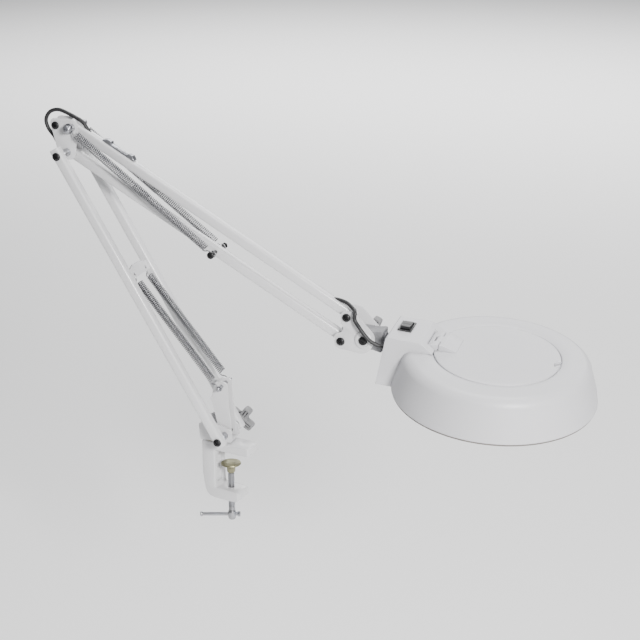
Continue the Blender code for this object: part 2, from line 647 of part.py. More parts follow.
def switch(head, rocker_axis):
    """A rocker in a rim. It rocks about the neck's length."""
    rim = put("switch_bezel", cube_mesh((0.0152, 0.0232, 0.0012)), head, "black_plastic",
              switch_place() @ Matrix.Translation((0, 0, 0.0009)))
    hole = put("bezel_hole_cutter", cube_mesh((0.0112, 0.0192, 0.02)), head, None, switch_place())
    combine(rim, hole)
    outline = rounded([(-0.0087, 0.0005, 0.0008), (-0.0087, 0.0034, 0.0012), (0, 0.0022, 0.004), (0.0087, 0.0034, 0.0012),
                       (0.0087, 0.0005, 0.0008), (0.0050, -0.0050, 0.001), (-0.0050, -0.0050, 0.001)][::-1], 3)
    mesh = outline_mesh("switch_rocker", [outline], 0.0100)
    swap = Matrix(((0, 0, 1, 0), (1, 0, 0, 0), (0, 1, 0, 0), (0, 0, 0, 1)))
    mesh.transform(swap)
    put("switch_rocker", mesh, rocker_axis, "black_plastic")


def optics(head):
    place = Matrix.Translation((HEAD_X, 0, 0))
    rim = LENS_R - 0.0001
    middle, edge, bulge, count = -0.0022, 0.0020, 0.0036, 4
    top = [(rim * k / count, middle + edge + bulge * (1 - (k / count) ** 2)) for k in range(count + 1)]
    bottom = [(r, 2 * middle - z) for r, z in reversed(top)]
    turned("lens", top + bottom, head, "glass", place, 30)
    sleeve("lens_ring", 0.0590, LENS_R, -0.0088, -0.0051, head, "white_plastic", place, 30)
    low, high = HEAD_BOTTOM + 0.0002, HEAD_BOTTOM + 0.0028
    sleeve("diffuser", 0.0708, 0.0990, low + 0.0010, high, head, "diffuser", place, 32)
    sleeve("inner_bezel", 0.0600, 0.0705, low, HEAD_BOTTOM + 0.0013, head, "white_plastic", place, 32)
    sleeve("led_board", 0.0760, 0.0940, -0.0300, -0.0286, head, "board", place, 30)


def bottom_ring(head):
    """The lower cover: a rim that closes the skirt, with the neck's floor on it."""
    place = Matrix.Translation((HEAD_X, 0, 0))
    low = HEAD_BOTTOM - 0.0006
    ring = [(HEAD_R - 0.0008, low + 0.0019), (HEAD_R - 0.0012, low), (0.0993, low), (0.0993, low + 0.0040),
            (HEAD_R - 0.0065, low + 0.0040), (HEAD_R - 0.0065, low + 0.0019)]
    rim = turned("lower_cover", ring, head, "white_plastic", place, RING_STEPS, ring=True)
    side = NECK_HALF + GAP
    combine(rim, box("neck_gap_cutter", (0, -side, -0.06), (0.052, side, 0), head, None))
    inside = NECK_HALF - WALL - GAP
    floor = box("neck_floor", (0.0246, -inside, HEAD_BOTTOM + 0.0004), (0.052, inside, HEAD_BOTTOM + 0.0022), head,
                "black_plastic")
    combine(floor, pin("floor_round_cutter", 0.0993, -0.06, 0, head, None, place, RING_STEPS))


def driver(head):
    board = box("driver_board", (0.036, -0.020, -0.020), (0.064, 0.020, -0.0184), head, "board")
    combine(board, box("driver_block_join", (0.040, -0.012, -0.0190), (0.060, 0.014, -0.006), head, None), "UNION")


def cover(head, lid):
    """The lens cover with its hinge arm, on a block in front of the neck."""
    lid_x, lid_z = COVER_HINGE.x, COVER_HINGE.z
    hinge = Matrix.Translation(COVER_HINGE)
    centre = Matrix.Translation((HEAD_X - lid_x, 0, -lid_z))
    top = HEAD_TOP + 0.0002
    disc = [(0, top + 0.0016), (0.030, top + 0.0014), (0.055, top + 0.0008), (COVER_R - 0.0016, top + 0.0002),
            (COVER_R, top - 0.0006), (COVER_R, top - 0.0020), (COVER_R - 0.0015, top - 0.0026), (0.055, top - 0.0014),
            (0.030, top - 0.0008), (0, top - 0.0006)]
    lid_obj = turned("lens_cover", disc, lid, "white_plastic", centre, RING_STEPS)
    notch = Matrix.Translation((HEAD_X + COVER_R + 0.003 - lid_x, 0, -lid_z))
    combine(lid_obj, pin("finger_notch_cutter", 0.0095, -0.02, 0.03, lid, None, notch, 24))
    arm = rounded([(0.0035, -0.0035, 0.001), (0.0225, -0.0036, 0), (0.0235, -0.0020, 0.0008), (0.0080, 0.0030, 0.002),
                   (0.0035, 0.0030, 0.001)], 3)
    hinge_arm = side_plate("lid_arm_join", [arm], -0.0165, 0.0165, lid, None)
    tongue = side_plate("lid_tongue_join", [rounded([(-0.0030, -0.0030, 0.0028), (0.006, -0.0030, 0), (0.006, 0.0028, 0),
                                                     (-0.0030, 0.0028, 0.0028)], 4)], -0.0060, 0.0060, lid, None)
    combine(lid_obj, hinge_arm, "UNION")
    combine(lid_obj, tongue, "UNION")
    combine(lid_obj, pin("lid_pin_cutter", 0.0011 + GAP, -0.03, 0.03, lid, None, ALONG_Y, 12))
    profile = rounded([(-0.0085, -0.0034, 0), (0.0030, -0.0034, 0.0029), (0.0030, 0.0030, 0.0025),
                       (-0.0005, 0.0030, 0.002), (-0.0085, 0.0008, 0.001)], 4)
    block = side_plate("hinge_block", [profile], -0.0170, 0.0170, head, "white_plastic")
    block.matrix_local = hinge
    gap = box("hinge_gap_cutter", (-0.0040, -0.0064, -0.01), (0.02, 0.0064, 0.02), head, None)
    gap.matrix_local = hinge
    combine(block, gap)
    bore = pin("hinge_bore_cutter", 0.0011 + GAP, -0.0155, 0.03, head, None, hinge @ ALONG_Y, 12)
    combine(block, bore)
    pin("cover_pin", 0.0011, -0.0150, 0.0165, head, "steel", hinge @ ALONG_Y, 12)


# ---------------------------------------------------------------- lead


def elbow_at(x, z, y=0.0):
    return ELBOW + Vector((x, y, z))


def top_tube_at(along, up, y=0.0):
    """A point in the top tube's own frame, in the arm frame."""
    return ELBOW_TOP + along * direction(UPPER_ANGLE) + up * direction(UPPER_ANGLE + pi / 2) + Vector((0, y, 0))


def lead(swivel):
    """The lamp's own lead: up the near tube, round the elbow, down the top tube and into the neck."""
    inside = [BASE_PIVOT + at * direction(LOWER_ANGLE) + Vector((0, -LOWER_TUBE_Y, 0))
              for at in (0.012, 0.10, 0.20, 0.305)]
    loop = [BASE_PIVOT + 0.319 * direction(LOWER_ANGLE) + Vector((0, -0.0265, 0)), elbow_at(0.0124, -0.0214, -0.0195),
            elbow_at(0.0030, -0.0190, -0.0090), elbow_at(-0.0085, -0.0100, -0.0015), elbow_at(-0.0140, 0.0040),
            elbow_at(-0.0190, 0.0140), elbow_at(-0.0262, 0.0235), elbow_at(-0.0285, 0.0330), elbow_at(-0.0235, 0.0415),
            elbow_at(-0.0140, 0.0448), elbow_at(-0.0040, 0.0425), top_tube_at(0.0040, 0.0096), top_tube_at(0.0130, 0.0062),
            top_tube_at(0.0220, 0.0025), top_tube_at(0.0320, 0.0002)]
    run = [top_tube_at(at, 0) for at in (0.044, 0.15, 0.25, UPPER_LENGTH - 0.044)]
    exit_ = [top_tube_at(UPPER_LENGTH - 0.034, 0.0002), top_tube_at(UPPER_LENGTH - 0.025, 0.0030),
             top_tube_at(UPPER_LENGTH - 0.0175, 0.0066)]
    path = inside[:-1] + smooth_route([inside[-1], *loop, run[0]], 0.0055)
    path += run[1:-1] + smooth_route([run[-1], *exit_], 0.006)
    wire("lead_arm", path, LEAD_R, swivel, "rubber")
    over = [exit_[-1], top_tube_at(UPPER_LENGTH - 0.0085, 0.0098, -0.0030),
            top_tube_at(UPPER_LENGTH + 0.0010, 0.0108, -0.0095),
            TILT + Vector((-0.0086, -0.0170, 0.0312)), TILT + Vector((-0.0085, -0.0180, 0.0235)),
            TILT + Vector((-0.0030, -0.0200, 0.0165)), TILT + Vector((0.0028, -0.0208, 0.0095)),
            TILT + Vector((0.0090, -0.0206, 0.0030)), TILT + Vector((0.0165, -0.0188, -0.0014)),
            TILT + Vector((0.0225, -0.0170, -0.0034)), TILT + Vector((0.0300, -0.0163, -0.0044)),
            TILT + Vector((0.0380, -0.0163, -0.0049))]
    names = (("lead_head_a", 0, 5), ("lead_head_b", 5, 8), ("lead_head_c", 8, 11))
    for name, first, last in names:
        part = smooth_route(over, 0.0045)
        marks = [nearest(part, over[first]), nearest(part, over[last])]
        piece = part[marks[0]:marks[1] + 1]
        shift = (piece[1] - piece[0]).normalized() * 2 * GAP
        wire(name, [piece[0] + shift, *piece[1:]], LEAD_R, swivel, "rubber")


def nearest(path, point):
    return min(range(len(path)), key=lambda i: (path[i] - point).length)


# ---------------------------------------------------------------- assembly


def main():
    clear_scene()
    clamp(None)
    pad = axis("pad_axis", None, (SCREW_X, 0, 0))
    screw = axis("screw_axis", pad)
    slide = axis("t_bar_axis", screw, (0, 0, T_BAR_Z))
    clamp_screw(pad, screw, slide)
    swivel = axis("swivel_axis", None, turn=Matrix.Rotation(ARM_TURN, 4, "Z"))
    base(swivel)
    lower = axis("lower_arm_axis", swivel, BASE_PIVOT, turn_y(-LOWER_ANGLE))
    lower_arm(lower)
    elbow(lower, swivel)
    top = axis("upper_arm_axis", swivel, ELBOW_TOP, turn_y(-UPPER_ANGLE))
    low = axis("upper_link_axis", swivel, ELBOW, turn_y(-UPPER_ANGLE))
    upper_arm(top, low)
    bridge = BASE_PIVOT + BRIDGE_AT * direction(LOWER_ANGLE)
    anchor = ELBOW + (UPPER_SPRING_BOLT - ELBOW).dot(direction(UPPER_ANGLE)) * direction(UPPER_ANGLE)
    for side, y in (("near", -SPRING_Y), ("far", SPRING_Y)):
        spring("lower_spring_" + side, bridge, LEVER_PIN, y, swivel)
        spring("upper_spring_" + side, ELBOW_TOP, anchor, y, swivel)
    head_bracket(swivel)
    star_knob("base_knob", BASE_PIVOT, LOWER_TUBE_Y + TUBE / 2 + 2 * GAP, LOWER_TUBE_Y + TUBE / 2 + 0.0135, radians(8),
              axis("base_knob_axis", swivel))
    star_knob("head_knob", TILT, 0.0132 + 2 * GAP, 0.0132 + 0.0130, radians(20), axis("head_knob_axis", swivel))
    tilt = axis("tilt_axis", swivel, TILT, turn_y(HEAD_TILT))
    knuckle(tilt)
    head = axis("roll_axis", tilt, turn=Matrix.Rotation(HEAD_ROLL, 4, "X"))
    head_cover(head)
    bottom_ring(head)
    optics(head)
    driver(head)
    rocker = axis("rocker_axis", head, switch_place().to_translation() + Vector((0, 0, 0.0010)),
                  Matrix.Rotation(radians(-6), 4, "X"))
    switch(head, rocker)
    lead(swivel)
    lid = axis("cover_axis", head, COVER_HINGE)
    cover(head, lid)


main()
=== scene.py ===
"""Visual model of a bench magnifying lamp with a screw clamp, a sprung arm and a round lighted head.

Metres, +Z up. The arm frame is the world frame turned about Z. Its X runs forward along the arm, and its near
side is -Y. A tube's own frame has X along the tube, and the head's own frame has X along its neck.
"""

import json
from math import asin, atan2, cos, pi, radians, sin

import bmesh
import bpy
from mathutils import Matrix, Vector

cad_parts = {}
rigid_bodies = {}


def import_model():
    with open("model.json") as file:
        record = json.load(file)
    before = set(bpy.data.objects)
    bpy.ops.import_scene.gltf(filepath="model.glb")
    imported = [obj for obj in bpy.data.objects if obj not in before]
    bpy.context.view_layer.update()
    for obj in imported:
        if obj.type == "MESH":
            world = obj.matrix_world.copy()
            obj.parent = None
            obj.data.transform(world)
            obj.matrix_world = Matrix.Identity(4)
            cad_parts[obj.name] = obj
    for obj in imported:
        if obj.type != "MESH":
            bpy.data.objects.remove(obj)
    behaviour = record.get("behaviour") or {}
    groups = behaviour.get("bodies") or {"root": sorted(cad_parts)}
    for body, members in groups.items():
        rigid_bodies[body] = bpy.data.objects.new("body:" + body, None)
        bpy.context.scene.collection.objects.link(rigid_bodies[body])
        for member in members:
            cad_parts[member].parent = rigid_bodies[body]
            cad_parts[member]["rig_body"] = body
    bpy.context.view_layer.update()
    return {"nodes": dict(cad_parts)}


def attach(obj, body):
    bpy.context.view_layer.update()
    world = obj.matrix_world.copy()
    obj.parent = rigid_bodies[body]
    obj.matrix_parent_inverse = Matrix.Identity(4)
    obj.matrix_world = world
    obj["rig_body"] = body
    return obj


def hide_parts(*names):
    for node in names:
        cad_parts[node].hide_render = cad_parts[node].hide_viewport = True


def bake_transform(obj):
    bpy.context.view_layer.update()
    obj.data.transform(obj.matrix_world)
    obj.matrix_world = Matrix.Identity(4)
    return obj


bl_info = {
    "name": "Magnifying Lamp",
    "version": (1, 0, 0),
    "blender": (4, 5, 0),
    "location": "3D View > Sidebar > Lamp",
    "description": "Builds a bench magnifying lamp piece by piece round its solid frame",
    "category": "Add Mesh",
}

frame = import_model()

GAP = 0.0003
JAW_THICK = 0.010
JAW_HALF = 0.012
THROAT = 0.046
SCREW_X = 0.022
SCREW_R = 0.0037
SCREW_END = -0.088
PAD_TOP = -0.0165
PAD_R = 0.0115
T_BAR_Z = -0.0815
BASE_PIVOT = Vector((0.018, 0, 0.0195))
LOWER_LENGTH = 0.360
LOWER_ANGLE = radians(120)
UPPER_LENGTH = 0.366
UPPER_ANGLE = radians(-30)
TUBE_HALF = 0.0055
TUBE_WALL = 0.0013
LOWER_TUBE_Y = 0.028
SPRING_Y = 0.0142
BRIDGE_AT = 0.208
PLATE_Y = (0.0068, 0.0086)
BRACKET_Y = (0.0112, 0.0132)
HEAD_X = 0.142
HEAD_R = 0.1089
SHOULDER_R = 0.100
HEAD_TOP = 0.006
HEAD_BOTTOM = -0.040
SKIRT = HEAD_BOTTOM + 0.0016
SHELL = 0.0025
LENS_R = 0.0635
COVER_R = 0.0664
COVER_HINGE = Vector((0.0790, 0, HEAD_TOP + 0.0042))
NECK_TOP = 0.0175
NECK_HALF = 0.028
HOOK_LENGTH = 0.0105
BOSS_R = 0.0045
SHANK_R = 0.0022
ROUNDING = 0.0003


def direction(angle):
    return Vector((cos(angle), 0, sin(angle)))


ELBOW = BASE_PIVOT + LOWER_LENGTH * direction(LOWER_ANGLE)
ELBOW_TOP = ELBOW + Vector((0.0065, 0, 0.0275))
ELBOW_STOP = ELBOW + Vector((-0.0125, 0, 0.029))
HEAD_LOW = ELBOW + UPPER_LENGTH * direction(UPPER_ANGLE)
HEAD_HIGH = HEAD_LOW + Vector((0.0065, 0, 0.0275))
TILT = HEAD_LOW + Vector((0.0255, 0, 0.004))
LEVER_PIN = Vector((0.0137, 0, 0.0765))
SPRING_BOLT_AT = (Vector((0.0085, 0, 0.2305)) - ELBOW).dot(direction(UPPER_ANGLE))

WORLD = Matrix()
ARM = Matrix.Rotation(radians(10), 4, "Z")
ALONG_Y = Matrix.Rotation(-pi / 2, 4, "X")
ALONG_X = Matrix.Rotation(pi / 2, 4, "Y")


def turn(angle, line):
    return Matrix.Rotation(angle, 4, line)


def at(*place):
    return Matrix.Translation(place[0] if len(place) == 1 else place)


AT_SCREW = at(SCREW_X, 0, 0)
LOWER = ARM @ at(BASE_PIVOT) @ turn(-LOWER_ANGLE, "Y")
TOP_TUBE = ARM @ at(ELBOW_TOP) @ turn(-UPPER_ANGLE, "Y")
LOW_TUBE = ARM @ at(ELBOW) @ turn(-UPPER_ANGLE, "Y")
KNUCKLE = ARM @ at(TILT) @ turn(radians(4), "Y")
HEAD = KNUCKLE @ turn(radians(6.5), "X")
RING = HEAD @ at(HEAD_X, 0, 0)


# ------------------------------------------------------------------ shapes


def rounded(corners, steps=6):
    """The corners (x, y, radius) with each one rounded by an arc."""
    points = []
    for i, (x, y, radius) in enumerate(corners):
        here = Vector((x, y))
        back = (Vector(corners[i - 1][:2]) - here).normalized()
        ahead = (Vector(corners[(i + 1) % len(corners)][:2]) - here).normalized()
        half = back.angle(ahead) / 2
        if radius == 0 or abs(sin(half)) > 0.9999:
            points.append((x, y))
            continue
        middle = here + (back + ahead).normalized() * radius / sin(half)
        reach = radius * cos(half) / sin(half)
        first, last = here + back * reach - middle, here + ahead * reach - middle
        sweep = -first.angle_signed(last)
        start = atan2(first.y, first.x)
        for k in range(steps + 1):
            angle = start + sweep * k / steps
            points.append((middle.x + radius * cos(angle), middle.y + radius * sin(angle)))
    return points


def mesh_of(bm, name):
    """Turns a bmesh into a mesh and frees it."""
    mesh = bpy.data.meshes.new(name)
    bm.to_mesh(mesh)
    bm.free()
    return mesh


def outward(bm, faces=None):
    """Turns the faces so that they look out of their solid."""
    bmesh.ops.recalc_face_normals(bm, faces=faces or bm.faces)


def fresh(shape, *settings, **named):
    """A new bmesh that holds one shape."""
    bm = bmesh.new()
    shape(bm, *settings, **named)
    return bm


def chain(bm, points, closed=False):
    """Vertices joined by edges in a row."""
    verts = [bm.verts.new(p) for p in points]
    edges = [bm.edges.new(pair) for pair in zip(verts, verts[1:])]
    if closed:
        edges.append(bm.edges.new((verts[-1], verts[0])))
    return verts, edges


def lathe(bm, profile, place=WORLD, steps=48, ring=False):
    """Spins a profile of (radius, height) about Z of its place. A `ring` profile is a loop."""
    verts, edges = chain(bm, [(r, 0, z) for r, z in profile], ring)
    before, old_faces = set(bm.verts) - set(verts), set(bm.faces)
    bmesh.ops.spin(bm, geom=verts + edges, cent=(0, 0, 0), axis=(0, 0, 1), dvec=(0, 0, 0), angle=2 * pi,
                   steps=steps, use_merge=True, use_duplicate=False)
    made = [v for v in bm.verts if v not in before]
    bmesh.ops.remove_doubles(bm, verts=made, dist=1e-6)
    made = [v for v in bm.verts if v not in before]
    bmesh.ops.transform(bm, matrix=place, verts=made)
    outward(bm, [f for f in bm.faces if f not in old_faces])


def bore(bm, radius, top, bottom, place=WORLD, steps=48):
    """A plain cylinder about Z of its place, for cutting a hole."""
    lathe(bm, [(0, top), (radius, top), (radius, bottom), (0, bottom)], place, steps)


def spindle(bm, radius, low, high, place, chamfer=0.0004, steps=32):
    """A round bar along Z of its place with chamfered ends."""
    lathe(bm, [(0, high), (radius - chamfer, high), (radius, high - chamfer), (radius, low + chamfer),
               (radius - chamfer, low), (0, low)], place, steps)


def bevel_sharp(bm, width, segments=3, limit=30):
    """Rounds every edge that is sharper than `limit` degrees."""
    edges = [e for e in bm.edges if e.is_manifold and e.calc_face_angle(0) > radians(limit)]
    bmesh.ops.bevel(bm, geom=edges, offset=width, offset_type="OFFSET", affect="EDGES", segments=segments,
                    profile=0.5, material=-1, clamp_overlap=True)


def prism(outline, low, high):
    """A new bmesh that holds an outline in X and Y, drawn out from `low` to `high` in Z."""
    part = bmesh.new()
    face = part.faces.new([part.verts.new((x, y, low)) for x, y in outline])
    drawn = bmesh.ops.extrude_face_region(part, geom=[face])
    moved = [v for v in drawn["geom"] if isinstance(v, bmesh.types.BMVert)]
    bmesh.ops.translate(part, vec=(0, 0, high - low), verts=moved)
    outward(part)
    return part


def slab(bm, outline, low, high, place=WORLD, bevel=0.0, segments=3, limit=30):
    """A prism at a place, with its sharp edges rounded."""
    part = prism(outline, low, high)
    if bevel:
        bevel_sharp(part, bevel, segments, limit)
    join(bm, part, place)


def join(bm, part, place=WORLD):
    """Adds one bmesh to another at a place, and frees it."""
    mesh = mesh_of(part, "joined")
    mesh.transform(place)
    bm.from_mesh(mesh)
    bpy.data.meshes.remove(mesh)


def side(bm, outline, y_low, y_high, place, bevel=0.0, segments=3, limit=30):
    """An outline in X and Z, between two values of Y."""
    slab(bm, outline, -y_high, -y_low, place @ turn(pi / 2, "X"), bevel, segments, limit)


def block(bm, size, place, bevel=0.0, segments=2):
    """A box about the middle of its place."""
    part = bmesh.new()
    bmesh.ops.create_cube(part, size=1)
    bmesh.ops.scale(part, vec=size, verts=part.verts)
    if bevel:
        bevel_sharp(part, bevel, segments)
    join(bm, part, place)


def route(points, every):
    """Points along a smooth curve through the given ones, about `every` apart."""
    points = [Vector(p) for p in points]
    path = [points[0]]
    for i in range(len(points) - 1):
        before, after = points[max(i - 1, 0)], points[min(i + 2, len(points) - 1)]
        start, end = points[i], points[i + 1]
        count = max(1, round((end - start).length / every))
        for k in range(1, count + 1):
            t = k / count
            path.append(0.5 * (2 * start + (end - before) * t + (2 * before - 5 * start + 4 * end - after) * t * t
                               + (3 * start - before - 3 * end + after) * t ** 3))
    return path


def rod(bm, path, radius, place, sides):
    """A round rod along a path, with closed ends."""
    part = bmesh.new()
    path = [Vector(p) for p in path]
    frame_turn = (path[1] - path[0]).to_track_quat("Z", "Y")
    rows = []
    for i, point in enumerate(path):
        ahead = path[min(i + 1, len(path) - 1)] - path[max(i - 1, 0)]
        frame_turn = (frame_turn @ Vector((0, 0, 1))).rotation_difference(ahead) @ frame_turn
        ring = bmesh.ops.create_circle(part, cap_ends=False, segments=sides, radius=radius)["verts"]
        bmesh.ops.transform(part, matrix=at(point) @ frame_turn.to_matrix().to_4x4(), verts=ring)
        rows.append(ring)
    for ring, after in zip(rows, rows[1:]):
        edges = {e for v in ring + after for e in v.link_edges if e.is_wire or e.is_boundary}
        near = [e for e in edges if all(v in ring for v in e.verts) or all(v in after for v in e.verts)]
        bmesh.ops.bridge_loops(part, edges=near)
    bmesh.ops.holes_fill(part, edges=[e for e in part.edges if e.is_boundary], sides=sides)
    outward(part)
    join(bm, part, place)


def helix(bm, coil_r, wire_r, low, high, pitch, place, steps=14, sides=6):
    """Wire wound round Z between two heights."""
    part = bmesh.new()
    total = round((high - low) / pitch * steps)
    circle = bmesh.ops.create_circle(part, cap_ends=True, segments=sides, radius=wire_r)["verts"]
    bmesh.ops.transform(part, matrix=at(coil_r, 0, low) @ turn(pi / 2, "X"), verts=circle)
    geom = circle + list(part.edges) + list(part.faces)
    bmesh.ops.spin(part, geom=geom, cent=(0, 0, 0), axis=(0, 0, 1), dvec=(0, 0, pitch / steps),
                   angle=2 * pi * total / steps, steps=total, use_merge=False, use_duplicate=False)
    outward(part)
    join(bm, part, place)


def thread(bm, radius, depth, low, high, pitch, place, steps=20):
    """A cut thread round Z between two heights."""
    part = bmesh.new()
    total = round((high - low) / pitch * steps)
    crest = pitch * 0.18
    profile = [(radius - depth, 0, 0), (radius, 0, pitch / 2 - crest), (radius, 0, pitch / 2 + crest),
               (radius - depth, 0, pitch)]
    verts, edges = chain(part, [(x, y, z + low) for x, y, z in profile])
    bmesh.ops.spin(part, geom=verts + edges, cent=(0, 0, 0), axis=(0, 0, 1), dvec=(0, 0, pitch / steps),
                   angle=2 * pi * total / steps, steps=total, use_merge=False, use_duplicate=False)
    bmesh.ops.remove_doubles(part, verts=part.verts, dist=2e-5)
    bmesh.ops.holes_fill(part, edges=[e for e in part.edges if e.is_boundary], sides=0)
    outward(part)
    join(bm, part, place)


# ------------------------------------------------------------------ pieces


SMOOTH_BELOW = 38


def sizes():
    """The sizes that the panel shows."""
    return bpy.context.scene.lamp_sizes


def body_of(node):
    return frame["nodes"][node]["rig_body"]


def add(name, data):
    """A new object in the scene, at the origin."""
    obj = bpy.data.objects.new(name, data)
    bpy.context.scene.collection.objects.link(obj)
    return obj


def soften(mesh, limit):
    """Shades a mesh smooth, apart from its edges over `limit` degrees."""
    mesh.shade_smooth()
    mesh.set_sharp_from_angle(angle=radians(limit))


def piece(name, bm, body, look, replaced=(), smooth=SMOOTH_BELOW, blend=None):
    """Finishes a bmesh as an object that rides on its body, or that blends between two bodies."""
    mesh = mesh_of(bm, name)
    mesh.materials.append(finish(look))
    soften(mesh, smooth)
    obj = add(name, mesh)
    if blend:
        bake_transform(obj)
    else:
        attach(obj, body)
    if replaced:
        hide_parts(*replaced)
    return obj


def carve(obj, bm):
    """Cuts a helper shape out of a finished piece."""
    mesh = mesh_of(bm, "cutter")
    tool = add("cutter", mesh)
    cut = obj.modifiers.new("Cut", "BOOLEAN")
    cut.operation = "DIFFERENCE"
    cut.solver = "EXACT"
    cut.object = tool
    made = bpy.data.meshes.new_from_object(obj.evaluated_get(bpy.context.evaluated_depsgraph_get()))
    obj.modifiers.remove(cut)
    old, obj.data = obj.data, made
    made.name = obj.name
    soften(made, SMOOTH_BELOW)
    bpy.data.meshes.remove(old)
    bpy.data.objects.remove(tool)
    bpy.data.meshes.remove(mesh)


def dress(node, look, width=ROUNDING):
    """A copy of a solid whose shape is right, with its edges rounded."""
    bm = bmesh.new()
    bm.from_mesh(frame["nodes"][node].data)
    bmesh.ops.remove_doubles(bm, verts=bm.verts, dist=2e-6)
    bmesh.ops.dissolve_limit(bm, angle_limit=radians(1.5), verts=bm.verts, edges=bm.edges)
    obj = piece(node + "_finished", bm, body_of(node), look, (node,), smooth=32)
    bevel = obj.modifiers.new("Bevel", "BEVEL")
    bevel.width = width
    bevel.segments = 2
    bevel.limit_method = "ANGLE"
    bevel.angle_limit = radians(35)
    bevel.harden_normals = True


def coat(node, look):
    """Gives a solid that is shown as it is its finish."""
    materials = frame["nodes"][node].data.materials
    materials.clear()
    materials.append(finish(look))


# ------------------------------------------------------------------ finishes


class Value:
    """A shader socket that takes part in Python expressions."""

    def __init__(self, tree, socket):
        self.tree = tree
        self.socket = socket

    def math(self, operation, *others, clamp=False):
        node = self.tree.nodes.new("ShaderNodeMath")
        node.operation = operation
        node.use_clamp = clamp
        for slot, value in zip(node.inputs, (self, *others)):
            if isinstance(value, Value):
                self.tree.links.new(value.socket, slot)
            else:
                slot.default_value = value
        return Value(self.tree, node.outputs[0])

    def __add__(self, other):
        return self.math("ADD", other)

    __radd__ = __add__

    def __sub__(self, other):
        return self.math("SUBTRACT", other)

    def __rsub__(self, other):
        return self.math("MULTIPLY_ADD", -1.0, other)

    def __mul__(self, other):
        return self.math("MULTIPLY", other)

    __rmul__ = __mul__

    def between(self, low, high):
        """0 at `low`, 1 at `high`, held outside."""
        return ((self - low) * (1 / (high - low))).math("ADD", 0.0, clamp=True)


class Finish:
    """A material under construction."""

    def __init__(self, name):
        self.made = bpy.data.materials.new(name)
        self.made.use_nodes = True
        self.tree = self.made.node_tree
        self.shader = self.tree.nodes["Principled BSDF"]
        self.object = self.node("ShaderNodeTexCoord", out="Object")

    def node(self, kind, settings=None, out=0, **values):
        """A node of a type, with its settings, then the values or links of its sockets."""
        node = self.tree.nodes.new(kind)
        for name, value in (settings or {}).items():
            setattr(node, name, value)
        for name, value in values.items():
            socket = node.inputs[int(name[1:]) if name[0] == "_" else name]
            if isinstance(value, Value):
                self.tree.links.new(value.socket, socket)
            else:
                socket.default_value = value
        return Value(self.tree, node.outputs[out])

    def noise(self, scale, detail=3.0, where=None, rough=0.55):
        return self.node("ShaderNodeTexNoise", Vector=where or self.object, Scale=scale, Detail=detail,
                         Roughness=rough)

    def cells(self, scale, where=None):
        return self.node("ShaderNodeTexVoronoi", Vector=where or self.object, Scale=scale)

    def stretched(self, scale, angle=(0, 0, 0)):
        return self.node("ShaderNodeMapping", Vector=self.object, Scale=scale, Rotation=angle)

    def mix(self, factor, low, high):
        """A colour between two, each a tuple or a link."""
        low, high = ((*c, 1) if isinstance(c, tuple) else c for c in (low, high))
        return self.node("ShaderNodeMix", {"data_type": "RGBA"}, out=2, _0=factor, _6=low, _7=high)

    def surface(self, **values):
        for name, value in values.items():
            socket = self.shader.inputs[name.replace("_", " ")]
            if isinstance(value, Value):
                self.tree.links.new(value.socket, socket)
            else:
                socket.default_value = value

    def bump(self, height, depth, strength=1.0):
        """Depth is the height of the grain in metres."""
        normal = self.node("ShaderNodeBump", Height=height, Strength=strength, Distance=depth)
        self.surface(Normal=normal)


def shade(colour, factor):
    return tuple(min(1.0, c * factor) for c in colour)


def powder_coat(made, colour):
    """Sprayed and baked paint: a soft orange peel under gloss, with faint dust and handling marks."""
    cloud = made.noise(22, 4).between(0.35, 0.7)
    peel = made.noise(520, 2)
    fine = made.noise(2600, 2)
    dust = made.noise(1500, 1).between(0.70, 0.78)
    marks = made.noise(140, 5, rough=0.7).between(0.60, 0.72)
    tone = made.mix(cloud * 0.5, colour, shade(colour, 0.965))
    tone = made.mix(dust * 0.22, tone, shade(colour, 0.72))
    tone = made.mix(marks * 0.10, tone, (0.78, 0.77, 0.74))
    made.surface(Base_Color=tone, Roughness=0.26 + cloud * 0.06 + fine * 0.05 + marks * 0.08, Coat_Weight=0.25)
    made.surface(Coat_Roughness=0.12)
    made.bump(peel * 0.8 + fine * 0.2, 0.00007, 0.6)


def moulded(made, colour, rough=0.36, grain=1900):
    """Injection-moulded plastic: a fine spark-eroded grain with slow variation in tone and gloss."""
    flow = made.noise(14, 3).between(0.3, 0.7)
    grit = made.noise(grain, 2, rough=0.7)
    pits = made.cells(grain * 0.7).between(0.0, 0.45)
    smudge = made.noise(46, 5, rough=0.68).between(0.55, 0.72)
    tone = made.mix(flow * 0.55, colour, shade(colour, 0.972))
    tone = made.mix(smudge * 0.12, tone, shade(colour, 0.90))
    made.surface(Base_Color=tone, Roughness=rough + flow * 0.05 + grit * 0.07 + smudge * 0.06)
    made.bump(grit * 0.6 + pits * 0.4, 0.00004, 0.55)


def soft_touch(made, colour):
    """Coarse matt plastic with worn, slightly shinier high spots."""
    grit = made.noise(1500, 3, rough=0.7)
    wear = made.noise(120, 4).between(0.5, 0.75)
    tone = made.mix(grit.between(0.35, 0.7), shade(colour, 0.80), shade(colour, 1.15))
    tone = made.mix(wear * 0.35, tone, shade(colour, 1.35))
    made.surface(Base_Color=tone, Roughness=0.52 + grit * 0.16 - wear * 0.10)
    made.bump(grit, 0.00010, 0.8)


def casting(made, colour):
    """A tumbled zinc casting under thin grey lacquer."""
    lumps = made.noise(260, 4, rough=0.6)
    grit = made.cells(1300).between(0.0, 0.6)
    bare = made.noise(420, 4, rough=0.7).between(0.62, 0.74)
    tone = made.mix(lumps.between(0.3, 0.7), shade(colour, 0.82), shade(colour, 1.18))
    tone = made.mix(bare * 0.5, tone, shade(colour, 1.8))
    made.surface(Base_Color=tone, Metallic=0.35 + bare * 0.5, Roughness=0.42 + grit * 0.14)
    made.bump(lumps * 0.6 + grit * 0.4, 0.00012, 0.7)


